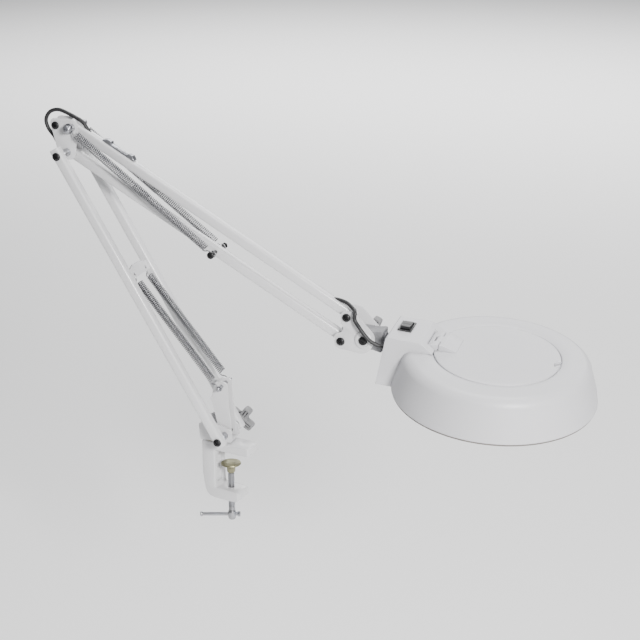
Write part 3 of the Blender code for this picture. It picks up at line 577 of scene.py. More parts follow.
def plated(made, colour, rough=0.24, drift=(0.50, 0.52, 0.58)):
    """Bright zinc plate: fine drawing lines, a blue cast in patches and small dull spots."""
    lines = made.noise(90, 3, made.stretched((40, 2.5, 40)), 0.6)
    patch = made.noise(120, 3).between(0.35, 0.7)
    spots = made.noise(900, 2).between(0.66, 0.76)
    tone = made.mix(patch * 0.6, colour, drift)
    tone = made.mix(spots * 0.45, tone, shade(colour, 0.55))
    made.surface(Base_Color=tone, Metallic=1.0, Roughness=rough + lines * 0.14 + spots * 0.25)
    made.bump(lines, 0.00003, 0.5)


def blacked(made, colour):
    """Black oxide on steel, rubbed to grey on its high spots."""
    grain = made.noise(800, 4, rough=0.65)
    rub = made.noise(300, 4, rough=0.7).between(0.60, 0.74)
    tone = made.mix(rub * 0.5, made.mix(grain, shade(colour, 0.6), shade(colour, 1.8)), (0.16, 0.16, 0.17))
    made.surface(Base_Color=tone, Metallic=0.55 + rub * 0.3, Roughness=0.30 + grain * 0.18)
    made.bump(grain, 0.00004, 0.6)


def sheath(made, colour):
    """A cable's rubbery sheath: matt, with fine grain and chalky scuffs."""
    grain = made.noise(1700, 3, rough=0.7)
    scuff = made.noise(170, 5, rough=0.72).between(0.58, 0.74)
    tone = made.mix(scuff * 0.5, made.mix(grain, shade(colour, 0.7), shade(colour, 1.5)), (0.075, 0.075, 0.078))
    made.surface(Base_Color=tone, Roughness=0.42 + grain * 0.16 + scuff * 0.12)
    made.bump(grain, 0.00006, 0.6)


def optical_glass(made, colour):
    """Polished glass with the faintest cleaning haze."""
    haze = made.noise(38, 5, rough=0.7).between(0.52, 0.8)
    made.surface(Base_Color=made.mix(haze * 0.3, colour, (0.97, 0.98, 0.98)), Roughness=0.012 + haze * 0.035)
    made.surface(Transmission_Weight=0.96, IOR=1.517)


def frosted(made, colour):
    """A light diffuser with concentric prisms."""
    rings = made.node("ShaderNodeTexWave", {"wave_type": "RINGS", "rings_direction": "Z"}, out="Fac",
                      Vector=made.node("ShaderNodeMapping", {"vector_type": "TEXTURE"}, Vector=made.object,
                                       Location=tuple(RING.to_translation()), Rotation=tuple(RING.to_euler())),
                      Scale=170.0)
    cloud = made.noise(30, 3)
    made.surface(Base_Color=made.mix(cloud * 0.4, colour, shade(colour, 0.93)), Roughness=0.45 + cloud * 0.12)
    made.surface(Transmission_Weight=0.25)
    made.bump(rings, 0.0002, 0.6)


def circuit(made, colour):
    """White solder mask over faint copper tracks, with dark pads."""
    tracks = made.node("ShaderNodeTexBrick", {"offset": 0.5}, out="Fac", Vector=made.object, Scale=60.0)
    cells = made.cells(260).between(0.10, 0.16)
    tone = made.mix(tracks * 0.35, colour, (0.62, 0.66, 0.55))
    tone = made.mix(1 - cells, tone, (0.55, 0.50, 0.30))
    made.surface(Base_Color=tone, Roughness=0.38 + tracks * 0.1)
    made.bump(tracks, 0.00005, 0.5)


LOOKS = {
    "white_paint": lambda made, c: powder_coat(made, tuple(c.paint)),
    "white_plastic": lambda made, c: moulded(made, tuple(c.plastic)),
    # The dark rim colour is painted shade: it stands in for the shadow and gap under the head's rim. The lower
    # cover and the inner bezel both take it.
    "rim_plastic_painted_shade": lambda made, c: moulded(made, (0.155, 0.140, 0.130), 0.50, 1400),
    "grey_plastic": lambda made, c: soft_touch(made, tuple(c.knob)),
    "die_cast": lambda made, c: casting(made, (0.21, 0.21, 0.22)),
    "steel": lambda made, c: plated(made, tuple(c.metal)),
    "spring_steel": lambda made, c: plated(made, (0.30, 0.30, 0.31), 0.30, (0.22, 0.22, 0.24)),
    "zinc": lambda made, c: plated(made, (0.30, 0.29, 0.17), 0.36, (0.22, 0.20, 0.15)),
    "black_steel": lambda made, c: blacked(made, (0.012, 0.012, 0.013)),
    "black_plastic": lambda made, c: moulded(made, (0.010, 0.010, 0.011), 0.32, 2400),
    "rubber": lambda made, c: sheath(made, (0.010, 0.010, 0.011)),
    "glass": lambda made, c: optical_glass(made, (0.93, 0.96, 0.95)),
    "diffuser": lambda made, c: frosted(made, (0.88, 0.88, 0.86)),
    "board": lambda made, c: circuit(made, (0.78, 0.80, 0.76)),
}
FINISHED = {}


def finish(name):
    """One material for each look, made when it is first asked for."""
    if name not in FINISHED:
        made = Finish(name)
        LOOKS[name](made, bpy.context.scene.lamp_colours)
        FINISHED[name] = made.made
    return FINISHED[name]


# ------------------------------------------------------------------ clamp


def make_clamp():
    outline = rounded([(-0.009, JAW_THICK, 0.002), (-0.009, -0.030, 0.03), (-0.0045, -0.059, 0.013),
                       (0.0375, -0.060, 0.005), (0.0375, -0.047, 0.004), (0.0075, -THROAT, 0.003),
                       (0.0075, 0, 0.0015), (0.0515, 0, 0.0015), (0.0515, JAW_THICK, 0.002)], 8)
    casting_shape = fresh(side, outline, -JAW_HALF, JAW_HALF, WORLD, 0.0012, 3, 50)
    body = piece("clamp_frame_casting", casting_shape, "clamp_frame", "white_paint", ("clamp_body",))
    cut = bmesh.new()
    block(cut, (0.0085, 0.013, 0.035), at(0.00775, 0, -0.0235), 0.0012)
    bore(cut, SCREW_R + GAP, -0.03, -0.08, AT_SCREW)
    bore(cut, 0.0050, 0.02, -0.005)
    carve(body, cut)
    coat("swivel_washer", "zinc")


def make_clamp_screw():
    cup = [(0, 0), (PAD_R - 0.0012, 0), (PAD_R - 0.0003, 0.0003), (PAD_R, 0.0009), (PAD_R, 0.0015),
           (PAD_R - 0.0007, 0.0021), (0.0082, 0.0031), (0.0060, 0.0050), (0.0050, 0.0068), (0.0047, 0.0104),
           (0.0043, 0.0116), (0.0038, 0.0120), (0.0030, 0.0120), (0.0030, 0.0045), (0, 0.0045)]
    cup_shape = fresh(lathe, [(r, PAD_TOP - drop) for r, drop in cup], AT_SCREW, 64)
    piece("clamp_pad_cup", cup_shape, "pad", "zinc", ("clamp_pad",))
    bm = bmesh.new()
    neck = PAD_TOP - 0.0048
    lathe(bm, [(0, neck), (0.0022, neck), (0.0026, neck - 0.0004), (0.0026, -0.0292), (0.0032, -0.0298),
               (0.0032, -0.0312), (0, -0.0312)], AT_SCREW, 32)
    thread(bm, SCREW_R, 0.0006, -0.0735, -0.0304, sizes().thread_pitch, AT_SCREW)
    piece("clamp_screw_thread", bm, "screw", "steel", ("clamp_screw",))
    profile = [(0, -0.0722), (SCREW_R - 0.0003, -0.0722), (SCREW_R, -0.0738), (SCREW_R, -0.0765),
               (0.0043, -0.0775), (0.0045, -0.0790), (0.0045, -0.0850), (0.0041, -0.0866), (0.0030, -0.0877), (0, SCREW_END)]
    screw_head = piece("clamp_screw_head", fresh(lathe, profile, AT_SCREW), "screw", "steel")
    across = at(SCREW_X, 0, T_BAR_Z) @ turn(radians(28), "Z") @ ALONG_X
    carve(screw_head, fresh(bore, 0.0022, 0.02, -0.02, across, 32))
    bm = bmesh.new()
    low, high = -0.0368, 0.0092
    lathe(bm, [(0, high + 0.0006), (0.0024, high + 0.0005), (0.0031, high), (0.0032, high - 0.0020),
               (0.0027, high - 0.0028), (0.0021, high - 0.0029), (0.0021, low + 0.0034), (0.0026, low + 0.0029),
               (0.0031, low + 0.0020), (0.0030, low + 0.0009), (0.0022, low + 0.0002), (0, low)], across, 32)
    piece("t_bar_forged", bm, "t_bar", "steel", ("t_bar", "t_bar_collar"))


# ------------------------------------------------------------------ fasteners and knobs


def make_screw(node, point, reach, head, nut, look="black_steel", drive="cross"):
    """A screw along Y: `reach` is its near and far seat, `head` and `nut` are (radius, height)."""
    place = ARM @ at(point) @ ALONG_Y
    near, far = reach
    radius, height = head
    bm = bmesh.new()
    dome = [(radius * cos(a), near - height * 0.30 - height * 0.70 * sin(a))
            for a in (radians(k * 11) for k in range(8))]
    tip = far + 0.002
    lathe(bm, [(0, tip), (SHANK_R - 0.0003, tip), (SHANK_R, tip - 0.0004), (SHANK_R, near + 0.0002),
               (radius - 0.0003, near), (radius, near - 0.0003), *dome, (radius * 0.12, near - height),
               (0, near - height)], place, 40)
    if nut:
        hexagon = [(nut[0] * cos(k * pi / 3 + 0.3), nut[0] * sin(k * pi / 3 + 0.3)) for k in range(6)]
        slab(bm, hexagon, far, far + nut[1], place, 0.0003, 2)
    made = piece(node + "_driven", bm, body_of(node), look, (node,))
    top, floor = near - height - 0.001, near - height * 0.35
    if drive == "cross":
        reach_out, half_slot = radius * 0.56, radius * 0.14
        plus = []
        for k in range(4):
            for x, y in ((half_slot, half_slot), (reach_out, half_slot), (reach_out, -half_slot)):
                angle = 0.5 - k * pi / 2
                plus.append((x * cos(angle) - y * sin(angle), x * sin(angle) + y * cos(angle)))
        socket = plus[::-1]
    else:
        socket = [(radius * 0.52 * cos(k * pi / 3), radius * 0.52 * sin(k * pi / 3)) for k in range(6)]
    carve(made, fresh(slab, socket, top, floor, place))


def star(outer, inner, steps=18):
    """A four-lobed outline: round lobe ends joined by scooped flanks."""
    points = []
    for i in range(4):
        middle = pi / 2 * (i + 0.5)
        for k in range(steps):
            t = abs(k / steps * 2 - 1)
            fall = min(1.0, max(0.0, (t - 0.30) / 0.56))
            radius = outer - 0.0008 * t * t - (outer - inner) * (3 * fall ** 2 - 2 * fall ** 3) ** 0.7
            angle = middle + (k / steps * 2 - 1) * pi / 4
            points.append((radius * cos(angle), radius * sin(angle)))
    return points


def make_star_knob(node, point, y_near, y_far, angle):
    depth = y_far - y_near
    place = ARM @ at(point.x, y_near, point.z) @ turn(-angle, "Y") @ ALONG_Y
    part = prism(star(0.0166, 0.0084), 0.0012, depth - 0.0012)
    bevel_sharp(part, 0.0014, 4, 60)
    for end in [f for f in part.faces if len(f.verts) > 20]:
        bmesh.ops.inset_region(part, faces=[end], thickness=0.0011, depth=-0.0001, use_even_offset=True)
        bmesh.ops.inset_region(part, faces=[end], thickness=0.0004, depth=-0.0026, use_even_offset=True)
    bm = bmesh.new()
    join(bm, part, place)
    spindle(bm, 0.0060, 0, depth, place, 0.0006, 48)
    for k in range(4):
        middle = pi / 2 * (k + 0.5)
        block(bm, (0.0090, 0.0016, depth - 0.0030), place @ turn(middle, "Z") @ at(0.0092, 0, depth / 2), 0.0003)
    piece(node + "_moulding", bm, body_of(node), "grey_plastic", (node,))


def make_spacer(node, point, y_low, y_high):
    """A turned sleeve along Y."""
    sleeve = fresh(spindle, BOSS_R, y_low, y_high, ARM @ at(point) @ ALONG_Y)
    piece(node + "_turned", sleeve, body_of(node), "steel", (node,))


# ------------------------------------------------------------------ base


def make_base():
    low = JAW_THICK + 4 * GAP
    post = [(0, low + 0.0045), (0.0056, low + 0.0045), (0.0066, low + 0.0040), (0.0068, low + 0.0034),
            (0.0068, low + 0.0026), (0.0042, low + 0.0025), (0.0042, -0.0022), (0, -0.0022)]
    piece("swivel_post_turned", fresh(lathe, post), "swivel_base", "steel", ("swivel_post",))
    dress("base_bracket", "white_paint", 0.0006)
    dress("spring_lever", "white_paint", 0.0005)
    inner, outer = 0.012 + GAP, LOWER_TUBE_Y - TUBE_HALF - GAP
    make_spacer("base_spacer_near", BASE_PIVOT, -outer, -inner)
    make_spacer("base_spacer_far", BASE_PIVOT, inner, outer)
    half, groove = SPRING_Y + 0.0055, SPRING_Y
    place = ARM @ at(LEVER_PIN) @ ALONG_Y
    profile = [(0, half), (0.0016, half), (0.0020, half - 0.0004), (0.0020, groove + 0.0010),
               (0.0015, groove + 0.0007), (0.0015, groove - 0.0007), (0.0020, groove - 0.0010)]
    pin = fresh(lathe, profile + [(r, -z) for r, z in reversed(profile)], place, 32)
    piece("lever_pin_grooved", pin, "swivel_base", "steel", ("lever_spring_pin",))
    face = LOWER_TUBE_Y + TUBE_HALF + GAP
    make_screw("base_bolt", BASE_PIVOT, (-face, face + 0.005), (0.0046, 0.0028), None)
    make_star_knob("base_knob", BASE_PIVOT, LOWER_TUBE_Y + TUBE_HALF + 2 * GAP, LOWER_TUBE_Y + TUBE_HALF + 0.0135,
                   radians(8))


# ------------------------------------------------------------------ arms


def square(half, corner, steps=5):
    return rounded([(x, y, corner) for x, y in ((half, half), (-half, half), (-half, -half), (half, -half))], steps)


SWAP = Matrix(((0, 0, 1, 0), (1, 0, 0, 0), (0, 1, 0, 0), (0, 0, 0, 1)))


def make_tube(node, x_low, x_high, y, place):
    """A painted square tube along X with open ends."""
    place = place @ at(0, y, 0) @ SWAP
    drawn = fresh(slab, square(TUBE_HALF, 0.0026), x_low, x_high, place, ROUNDING, 2, 60)
    tube = piece(node + "_drawn", drawn, body_of(node), "white_paint", (node,))
    cut = bmesh.new()
    for low, high in ((x_low - 0.01, x_low + 0.02), (x_high - 0.02, x_high + 0.01)):
        slab(cut, square(TUBE_HALF - TUBE_WALL, 0.0014, 3), low, high, place)
    carve(tube, cut)


def coil(name, start, end, y, spans, body, hooks, slimmer=0.0, blend=None, replaced=()):
    """A spring on the line from start to end, wound between two distances along it.

    Each hook says whether it is at the end, the side it turns to and the radius of its eye.
    """
    along = end - start
    length = along.length
    place = ARM @ at(start.x, y, start.z) @ Vector((0, 0, 1)).rotation_difference(along).to_matrix().to_4x4()
    bm = bmesh.new()
    coil_r, wire = sizes().spring_radius, sizes().spring_wire
    helix(bm, coil_r - slimmer, wire, spans[0], spans[1], sizes().spring_pitch, place)
    for at_end, sign, eye in hooks:
        centre = length if at_end else 0.0
        shank = [(0.0040, -0.0112), (0.0036, -0.0092), (0.0018, -0.0072), (0.0004, -0.0058)]
        loop = [(eye * sin(a), -eye * cos(a)) for a in (radians(20 * k) for k in range(17))]
        points = [(sign * x, 0, centre + (z if at_end else -z)) for x, z in shank + loop]
        rod(bm, route(points, 0.0007), wire, place, 8)
    piece(name, bm, body, "spring_steel", replaced, smooth=70, blend=blend)


def straight_share(share, anchor, pin):
    """The share of the pivot's turn that keeps this point of a stretched spring on the line between its ends."""
    rest = anchor.lerp(pin, share)
    found = []
    for angle in (radians(-30), radians(45)):
        moved = Matrix.Rotation(-angle, 3, "Y") @ pin
        low, high = 0.0, 1.0
        for _ in range(40):
            middle = (low + high) / 2
            if anchor.lerp(moved, middle).length > rest.length:
                low = middle
            else:
                high = middle
        point = anchor.lerp(moved, low)
        found.append((atan2(point.z, point.x) - atan2(rest.z, rest.x)) / angle)
    return min(1.0, max(0.0, sum(found) / 2))


def eased(weight):
    """Where along a smooth step the weight is reached."""
    return 0.5 - sin(asin(1 - 2 * weight) / 3)


def make_lower_springs():
    """Each coil is a row of short lengths, so that it stays straight when the arm turns about the pivot."""
    bridge = BASE_PIVOT + BRIDGE_AT * direction(LOWER_ANGLE)
    along = LEVER_PIN - bridge
    length = along.length
    pitch = sizes().spring_pitch
    turns = int((length - 2 * HOOK_LENGTH) / pitch)
    count = 8
    marks = [HOOK_LENGTH + pitch * round(turns * k / count) for k in range(count + 1)]
    for side_name, y in (("near", -SPRING_Y), ("far", SPRING_Y)):
        for k in range(count):
            ends = [0.0 if k == 0 else marks[k] / length, 1.0 if k == count - 1 else marks[k + 1] / length]
            weights = [straight_share(e, bridge - BASE_PIVOT, LEVER_PIN - BASE_PIVOT) for e in ends]
            weights = [0.0 if k == 0 else weights[0], 1.0 if k == count - 1 else weights[1]]
            steps = [eased(w) for w in weights]
            reach = (ends[1] - ends[0]) / max(steps[1] - steps[0], 0.02)
            first = ends[0] - steps[0] * reach
            hooks = ((False, 1, 0.0024),) if k == 0 else ((True, 1, 0.0027),) if k == count - 1 else ()
            coil(f"lower_spring_{side_name}_{k + 1}", bridge, LEVER_PIN, y, (marks[k], marks[k + 1]),
                 ("lower_arm", "swivel_base"), hooks,
                 blend=(ARM @ (bridge + first * along), ARM @ (bridge + (first + reach) * along)),
                 replaced=("lower_spring_" + side_name,) if k == 0 else ())


def make_upper_springs():
    anchor = ELBOW + SPRING_BOLT_AT * direction(UPPER_ANGLE)
    length = (anchor - ELBOW_TOP).length
    middle, lap = length / 2, 0.009
    for side_name, y in (("near", -SPRING_Y), ("far", SPRING_Y)):
        coil("upper_spring_rear_" + side_name, ELBOW_TOP, anchor, y, (HOOK_LENGTH, middle + lap), "upper_arm",
             ((False, 1, 0.0050),), replaced=("upper_spring_" + side_name,))
        coil("upper_spring_front_" + side_name, ELBOW_TOP, anchor, y, (middle - lap, length - HOOK_LENGTH),
             "upper_link", ((True, 1, 0.0034),), slimmer=0.0003)


def make_lower_arm():
    for node, y in (("lower_tube_near", -LOWER_TUBE_Y), ("lower_tube_far", LOWER_TUBE_Y)):
        make_tube(node, -0.0070, LOWER_LENGTH + 0.0085, y, LOWER)
    dress("lower_bridge", "white_paint")


def make_plates(name, outline, near, far):
    """A pressed plate on each side of the arm, between two distances from its middle."""
    for node, y_low, y_high in ((name + "_near", -far, -near), (name + "_far", near, far)):
        plate = fresh(side, outline, y_low, y_high, ARM, 0.0004, 2)
        piece(node + "_pressed", plate, body_of(node), "white_paint", (node,))


def make_elbow():
    b, c, s = ELBOW, ELBOW_TOP, ELBOW_STOP
    outline = rounded([(b.x + 0.0085, b.z - 0.0085, 0.007), (c.x + 0.0085, c.z + 0.0085, 0.007),
                       (s.x - 0.0080, s.z + 0.0080, 0.005), (b.x - 0.0095, b.z - 0.0085, 0.007)], 8)
    near, far = PLATE_Y
    make_plates("elbow_plate", outline, near, far)
    outer = LOWER_TUBE_Y - TUBE_HALF - GAP
    spool = SPRING_Y + 0.0057
    make_spacer("elbow_spacer_near", b, -outer, -far - GAP)
    make_spacer("elbow_spacer_far", b, far + GAP, outer)
    for name, sign in (("spring_spool_near", -1), ("spring_spool_far", 1)):
        face = [(0, far + GAP), (0.0044, far + GAP), (0.0044, SPRING_Y - 0.0012), (0.0036, SPRING_Y - 0.0008),
                (0.0036, SPRING_Y + 0.0008), (0.0044, SPRING_Y + 0.0012), (0.0044, spool - 0.0003),
                (0.0041, spool), (0, spool)]
        bobbin = fresh(lathe, [(r, sign * z) for r, z in face], ARM @ at(c) @ ALONG_Y, 40)
        piece(name + "_turned", bobbin, "lower_arm", "steel", (name,))
    face = LOWER_TUBE_Y + TUBE_HALF + GAP
    make_screw("elbow_bolt", b, (-face, face), (0.0046, 0.0028), (0.0045, 0.0030))
    make_screw("elbow_top_bolt", c, (-spool - GAP, spool + GAP), (0.0040, 0.0020), (0.0040, 0.0025), "steel")
    make_screw("elbow_stop_bolt", s, (-far - GAP, far + GAP), (0.0044, 0.0026), (0.0040, 0.0030))


def make_upper_arm():
    make_tube("upper_tube_top", -0.0065, UPPER_LENGTH + 0.0065, 0, TOP_TUBE)
    make_tube("upper_tube_bottom", -0.0065, UPPER_LENGTH + 0.0065, 0, LOW_TUBE)
    reach = SPRING_Y + 0.0055
    make_screw("upper_spring_bolt", ELBOW + SPRING_BOLT_AT * direction(UPPER_ANGLE), (-reach, reach),
               (0.0040, 0.0022), (0.0036, 0.0022))
    dress("lead_clip", "steel")


# ------------------------------------------------------------------ head bracket and knuckle


def make_head_bracket():
    low, high, tilt = HEAD_LOW, HEAD_HIGH, TILT
    outline = rounded([(low.x - 0.007, low.z - 0.0075, 0.006), (tilt.x + 0.002, tilt.z - 0.0165, 0.012),
                       (tilt.x + 0.0165, tilt.z + 0.002, 0.013), (high.x + 0.0080, high.z + 0.0065, 0.006),
                       (high.x - 0.0070, high.z + 0.0070, 0.006), (high.x - 0.0068, high.z - 0.007, 0.004),
                       (high.x + 0.0045, (low.z + high.z) / 2, 0.006), (low.x - 0.0075, low.z + 0.0075, 0.005)], 8)
    near, far = BRACKET_Y
    make_plates("head_plate", outline, near, far)
    for name, point in (("bottom", low), ("top", high)):
        make_screw("head_bolt_" + name, point, (-far - GAP, far + GAP), (0.0046, 0.0028), (0.0044, 0.0030))
        for side_name, angle in (("near", pi), ("far", 0)):
            place = ARM @ at(point) @ turn(angle, "Z") @ ALONG_Y
            sleeve = fresh(spindle, 0.0042, TUBE_HALF + GAP, near - GAP, place)
            piece(f"head_spacer_{name}_{side_name}", sleeve, "head_bracket", "steel")
    face = -far - GAP
    boss = [(0, face), (0.0098, face), (0.0098, face - 0.0008), (0.0092, face - 0.0014), (0.0070, face - 0.0017),
            (0.0066, face - 0.0012), (0, face - 0.0012)]
    boss_shape = fresh(lathe, boss, ARM @ at(tilt) @ ALONG_Y, 64)
    piece("tilt_boss_formed", boss_shape, "head_bracket", "white_paint", ("tilt_boss",))
    make_screw("tilt_bolt", tilt, (-far - 0.0022, 0.018), (0.0048, 0.0022), None, drive="hex")
    make_star_knob("head_knob", TILT, far + 2 * GAP, far + 0.0130, radians(20))


def make_knuckle():
    outline = rounded([(-0.0105, -0.0105, 0.0085), (0.0100, -0.0105, 0.004), (0.0200, -0.0125, 0.002),
                       (0.0200, 0.0125, 0.002), (0.0100, 0.0105, 0.004), (-0.0105, 0.0105, 0.0085)], 8)
    bm = fresh(side, outline, -0.0105, 0.0105, KNUCKLE, 0.0016, 3)
    lathe(bm, [(0, 0.0150), (0.0088, 0.0150), (0.0088, 0.0212), (0.0082, 0.0218), (0.0060, 0.0222),
               (0.0060, 0.0325), (0.0056, 0.0330), (0, 0.0330)], KNUCKLE @ ALONG_X, 48)
    piece("knuckle_casting", bm, "knuckle", "die_cast", ("knuckle",))


# ------------------------------------------------------------------ head


def shoulder(shrink, steps=14):
    """The rounded outer profile from the lens recess to the skirt, `shrink` inside the surface."""
    middle_r, middle_z, radius = SHOULDER_R - 0.0125, HEAD_TOP - 0.0125, 0.0125 - shrink
    arc = [(middle_r + radius * cos(a), middle_z + radius * sin(a))
           for a in (radians(90 - 80 * k / steps) for k in range(steps + 1))]
    crown = [(middle_r - 0.012, HEAD_TOP - shrink + 0.0007), (middle_r - 0.006, HEAD_TOP - shrink + 0.0005)]
    return [*crown, *arc, (HEAD_R - shrink - 0.0022, SKIRT + 0.012), (HEAD_R - shrink, SKIRT + 0.0007)]


def make_head():
    outer, inner = shoulder(0.0), shoulder(SHELL)
    recess = COVER_R + 0.0008
    section = [(recess, HEAD_TOP - 0.0014), (recess + 0.0004, HEAD_TOP - 0.0006),
               (recess + 0.0014, HEAD_TOP - 0.0001), *outer, (HEAD_R - 0.0006, SKIRT), (HEAD_R - 0.0030, SKIRT), *reversed(inner[2:-1]),
               (LENS_R + 0.0030, 0.0005), (LENS_R + 0.0030, SKIRT), (LENS_R + GAP, SKIRT), (LENS_R + GAP, 0.0005),
               (0.0607, 0.0005), (0.0605, 0.0007), (0.0605, HEAD_TOP - 0.0030), (0.0607, HEAD_TOP - 0.0028),
               (recess, HEAD_TOP - 0.0028)]
    ring = fresh(lathe, section, RING, 160, ring=True)
    ring = piece("head_ring_moulding", ring, "head", "white_plastic", ("head_cover",))
    hinge_slot = (0.02, 0.0356, 0.03), HEAD @ at(0.080, 0, HEAD_TOP + 0.0155)
    carve(ring, fresh(block, *hinge_slot))
    outline = rounded([(0.0192, HEAD_BOTTOM + 0.0002, 0), (0.0280, NECK_TOP, 0.0025), (0.0650, NECK_TOP, 0.003),
                       (0.0790, HEAD_TOP + 0.0016, 0.0006), (0.0786, HEAD_TOP + 0.0008, 0),
                       (0.0738, HEAD_TOP + 0.0008, 0), (0.0738, -0.006, 0), (0.0530, -0.030, 0),
                       (0.0405, HEAD_BOTTOM + 0.0002, 0)], 6)
    neck = fresh(side, outline, -NECK_HALF, NECK_HALF, HEAD, 0.0032, 5, 32)
    neck = piece("head_neck_moulding", neck, "head", "white_plastic")
    cut = fresh(block, *hinge_slot)
    block(cut, (0.0135, 0.0215, 0.012), HEAD @ at(0.0425, 0.0035, NECK_TOP - 0.003))
    block(cut, (0.030, 0.051, 0.02), HEAD @ at(0.0376, 0, HEAD_BOTTOM - 0.0078), 0.001)
    bore(cut, 0.0065, 0.0290, 0.010, HEAD @ ALONG_X, 32)
    carve(neck, cut)
    low = HEAD_BOTTOM - 0.0006
    section = [(HEAD_R - 0.0008, low + 0.0018), (HEAD_R - 0.0007, low + 0.0010), (HEAD_R - 0.0011, low + 0.0003),
               (HEAD_R - 0.0018, low), (0.0997, low), (0.0993, low + 0.0004), (0.0993, low + 0.0040),
               (HEAD_R - 0.0065, low + 0.0040), (HEAD_R - 0.0060, low + 0.0018)]
    rim = fresh(lathe, section, RING, 160, ring=True)
    # The lower cover's dark colour is painted shade for the gap and shadow under the head's rim.
    rim = piece("lower_cover_moulding", rim, "head", "rim_plastic_painted_shade", ("lower_cover",))
    carve(rim, fresh(block, (0.060, 2 * NECK_HALF - 0.005, 0.03), HEAD @ at(0.012, 0, low)))
    dress("neck_floor", "black_plastic")
    loop = [(sizes().lead_radius + 0.0013 + 0.0011 * cos(a), 0.0011 * sin(a))
            for a in (radians(30 * k) for k in range(12))]
    grommet = fresh(lathe, loop, HEAD @ at(0.0250, -0.0164, -0.0004) @ ALONG_X, 32, ring=True)
    piece("neck_grommet", grommet, "head", "black_plastic")


def make_switch():
    place = HEAD @ at(0.0425, 0.0035, NECK_TOP + 0.0009)
    rim = fresh(block, (0.0152, 0.0232, 0.0012), place, 0.0005, 3)
    rim = piece("switch_rim", rim, "head", "black_plastic", ("switch_bezel",))
    carve(rim, fresh(block, (0.0112, 0.0192, 0.02), place))
    dress("switch_rocker", "black_plastic")


def make_lens_cover():
    top = HEAD_TOP + 0.0002
    crown = [(0.0, 0.0016), (0.012, 0.00158), (0.024, 0.00150), (0.036, 0.00134), (0.046, 0.00114),
             (0.055, 0.00088), (COVER_R - 0.0028, 0.00042), (COVER_R - 0.0012, 0.0002),
             (COVER_R - 0.0003, -0.0002), (COVER_R, -0.0008), (COVER_R, -0.0018), (COVER_R - 0.0008, -0.0025), (0.055, -0.0014), (0.030, -0.0008), (0, -0.0006)]
    lid = fresh(lathe, [(r, top + z) for r, z in crown], RING, 144)
    lid = piece("lens_cover_disc", lid, "lens_cover", "white_plastic", ("lens_cover",))
    carve(lid, fresh(bore, 0.0095, 0.03, -0.02, RING @ at(COVER_R + 0.003, 0, 0)))
    hinge = HEAD @ at(COVER_HINGE)
    arm = rounded([(0.0035, -0.0035, 0.001), (0.0225, -0.0036, 0), (0.0235, -0.0020, 0.0008),
                   (0.0080, 0.0030, 0.002), (0.0035, 0.0030, 0.001)], 6)
    bm = fresh(side, arm, -0.0165, 0.0165, hinge, 0.0005, 2)
    tongue = rounded([(-0.0030, -0.0030, 0.0028), (0.006, -0.0030, 0), (0.006, 0.0028, 0),
                      (-0.0030, 0.0028, 0.0028)], 8)
    side(bm, tongue, -0.0060, 0.0060, hinge, 0.0003, 2)
    piece("lens_cover_arm", bm, "lens_cover", "white_plastic")
    dress("hinge_block", "white_plastic", 0.0005)
    pin = fresh(spindle, 0.0011, -0.0150, 0.0165, hinge @ ALONG_Y, 0.0002, 24)
    piece("cover_hinge_pin", pin, "head", "steel", ("cover_pin",))


def make_optics():
    edge, middle, bulge, count = 0.0020, -0.0022, sizes().lens_bulge, 16
    rim = LENS_R - 0.0001
    top = [(rim * k / count, middle + edge + bulge * (1 - (k / count) ** 2)) for k in range(count + 1)]
    ground = fresh(lathe, top + [(r, 2 * middle - z) for r, z in reversed(top)], RING, 96)
    piece("lens_ground", ground, "head", "glass", ("lens",))
    rings = (("lens_ring", 0.0590, LENS_R, -0.0088, -0.0051, "white_plastic"),
             ("diffuser", 0.0708, 0.0990, HEAD_BOTTOM + 0.0012, HEAD_BOTTOM + 0.0028, "diffuser"),
             # The inner bezel takes the same dark painted-shade rim colour.
             ("inner_bezel", 0.0600, 0.0705, HEAD_BOTTOM + 0.0002, HEAD_BOTTOM + 0.0013, "rim_plastic_painted_shade"))
    for node, inner, outer, low, high, look in rings:
        soft = ROUNDING
        section = [(outer, low + soft), (outer, high - soft), (outer - soft, high), (inner + soft, high),
                   (inner, high - soft), (inner, low + soft), (inner + soft, low), (outer - soft, low)]
        piece(node + "_moulding", fresh(lathe, section, RING, 128, ring=True), "head", look, (node,))
    coat("led_board", "board")
    coat("driver_board", "board")


# ------------------------------------------------------------------ lead


def elbow_at(x, z, y=0.0):
    return ELBOW + Vector((x, y, z))


def tilt_at(x, y, z):
    return TILT + Vector((x, y, z))


def top_tube_at(along, up, y=0.0):
    return ELBOW_TOP + along * direction(UPPER_ANGLE) + up * direction(UPPER_ANGLE + pi / 2) + Vector((0, y, 0))


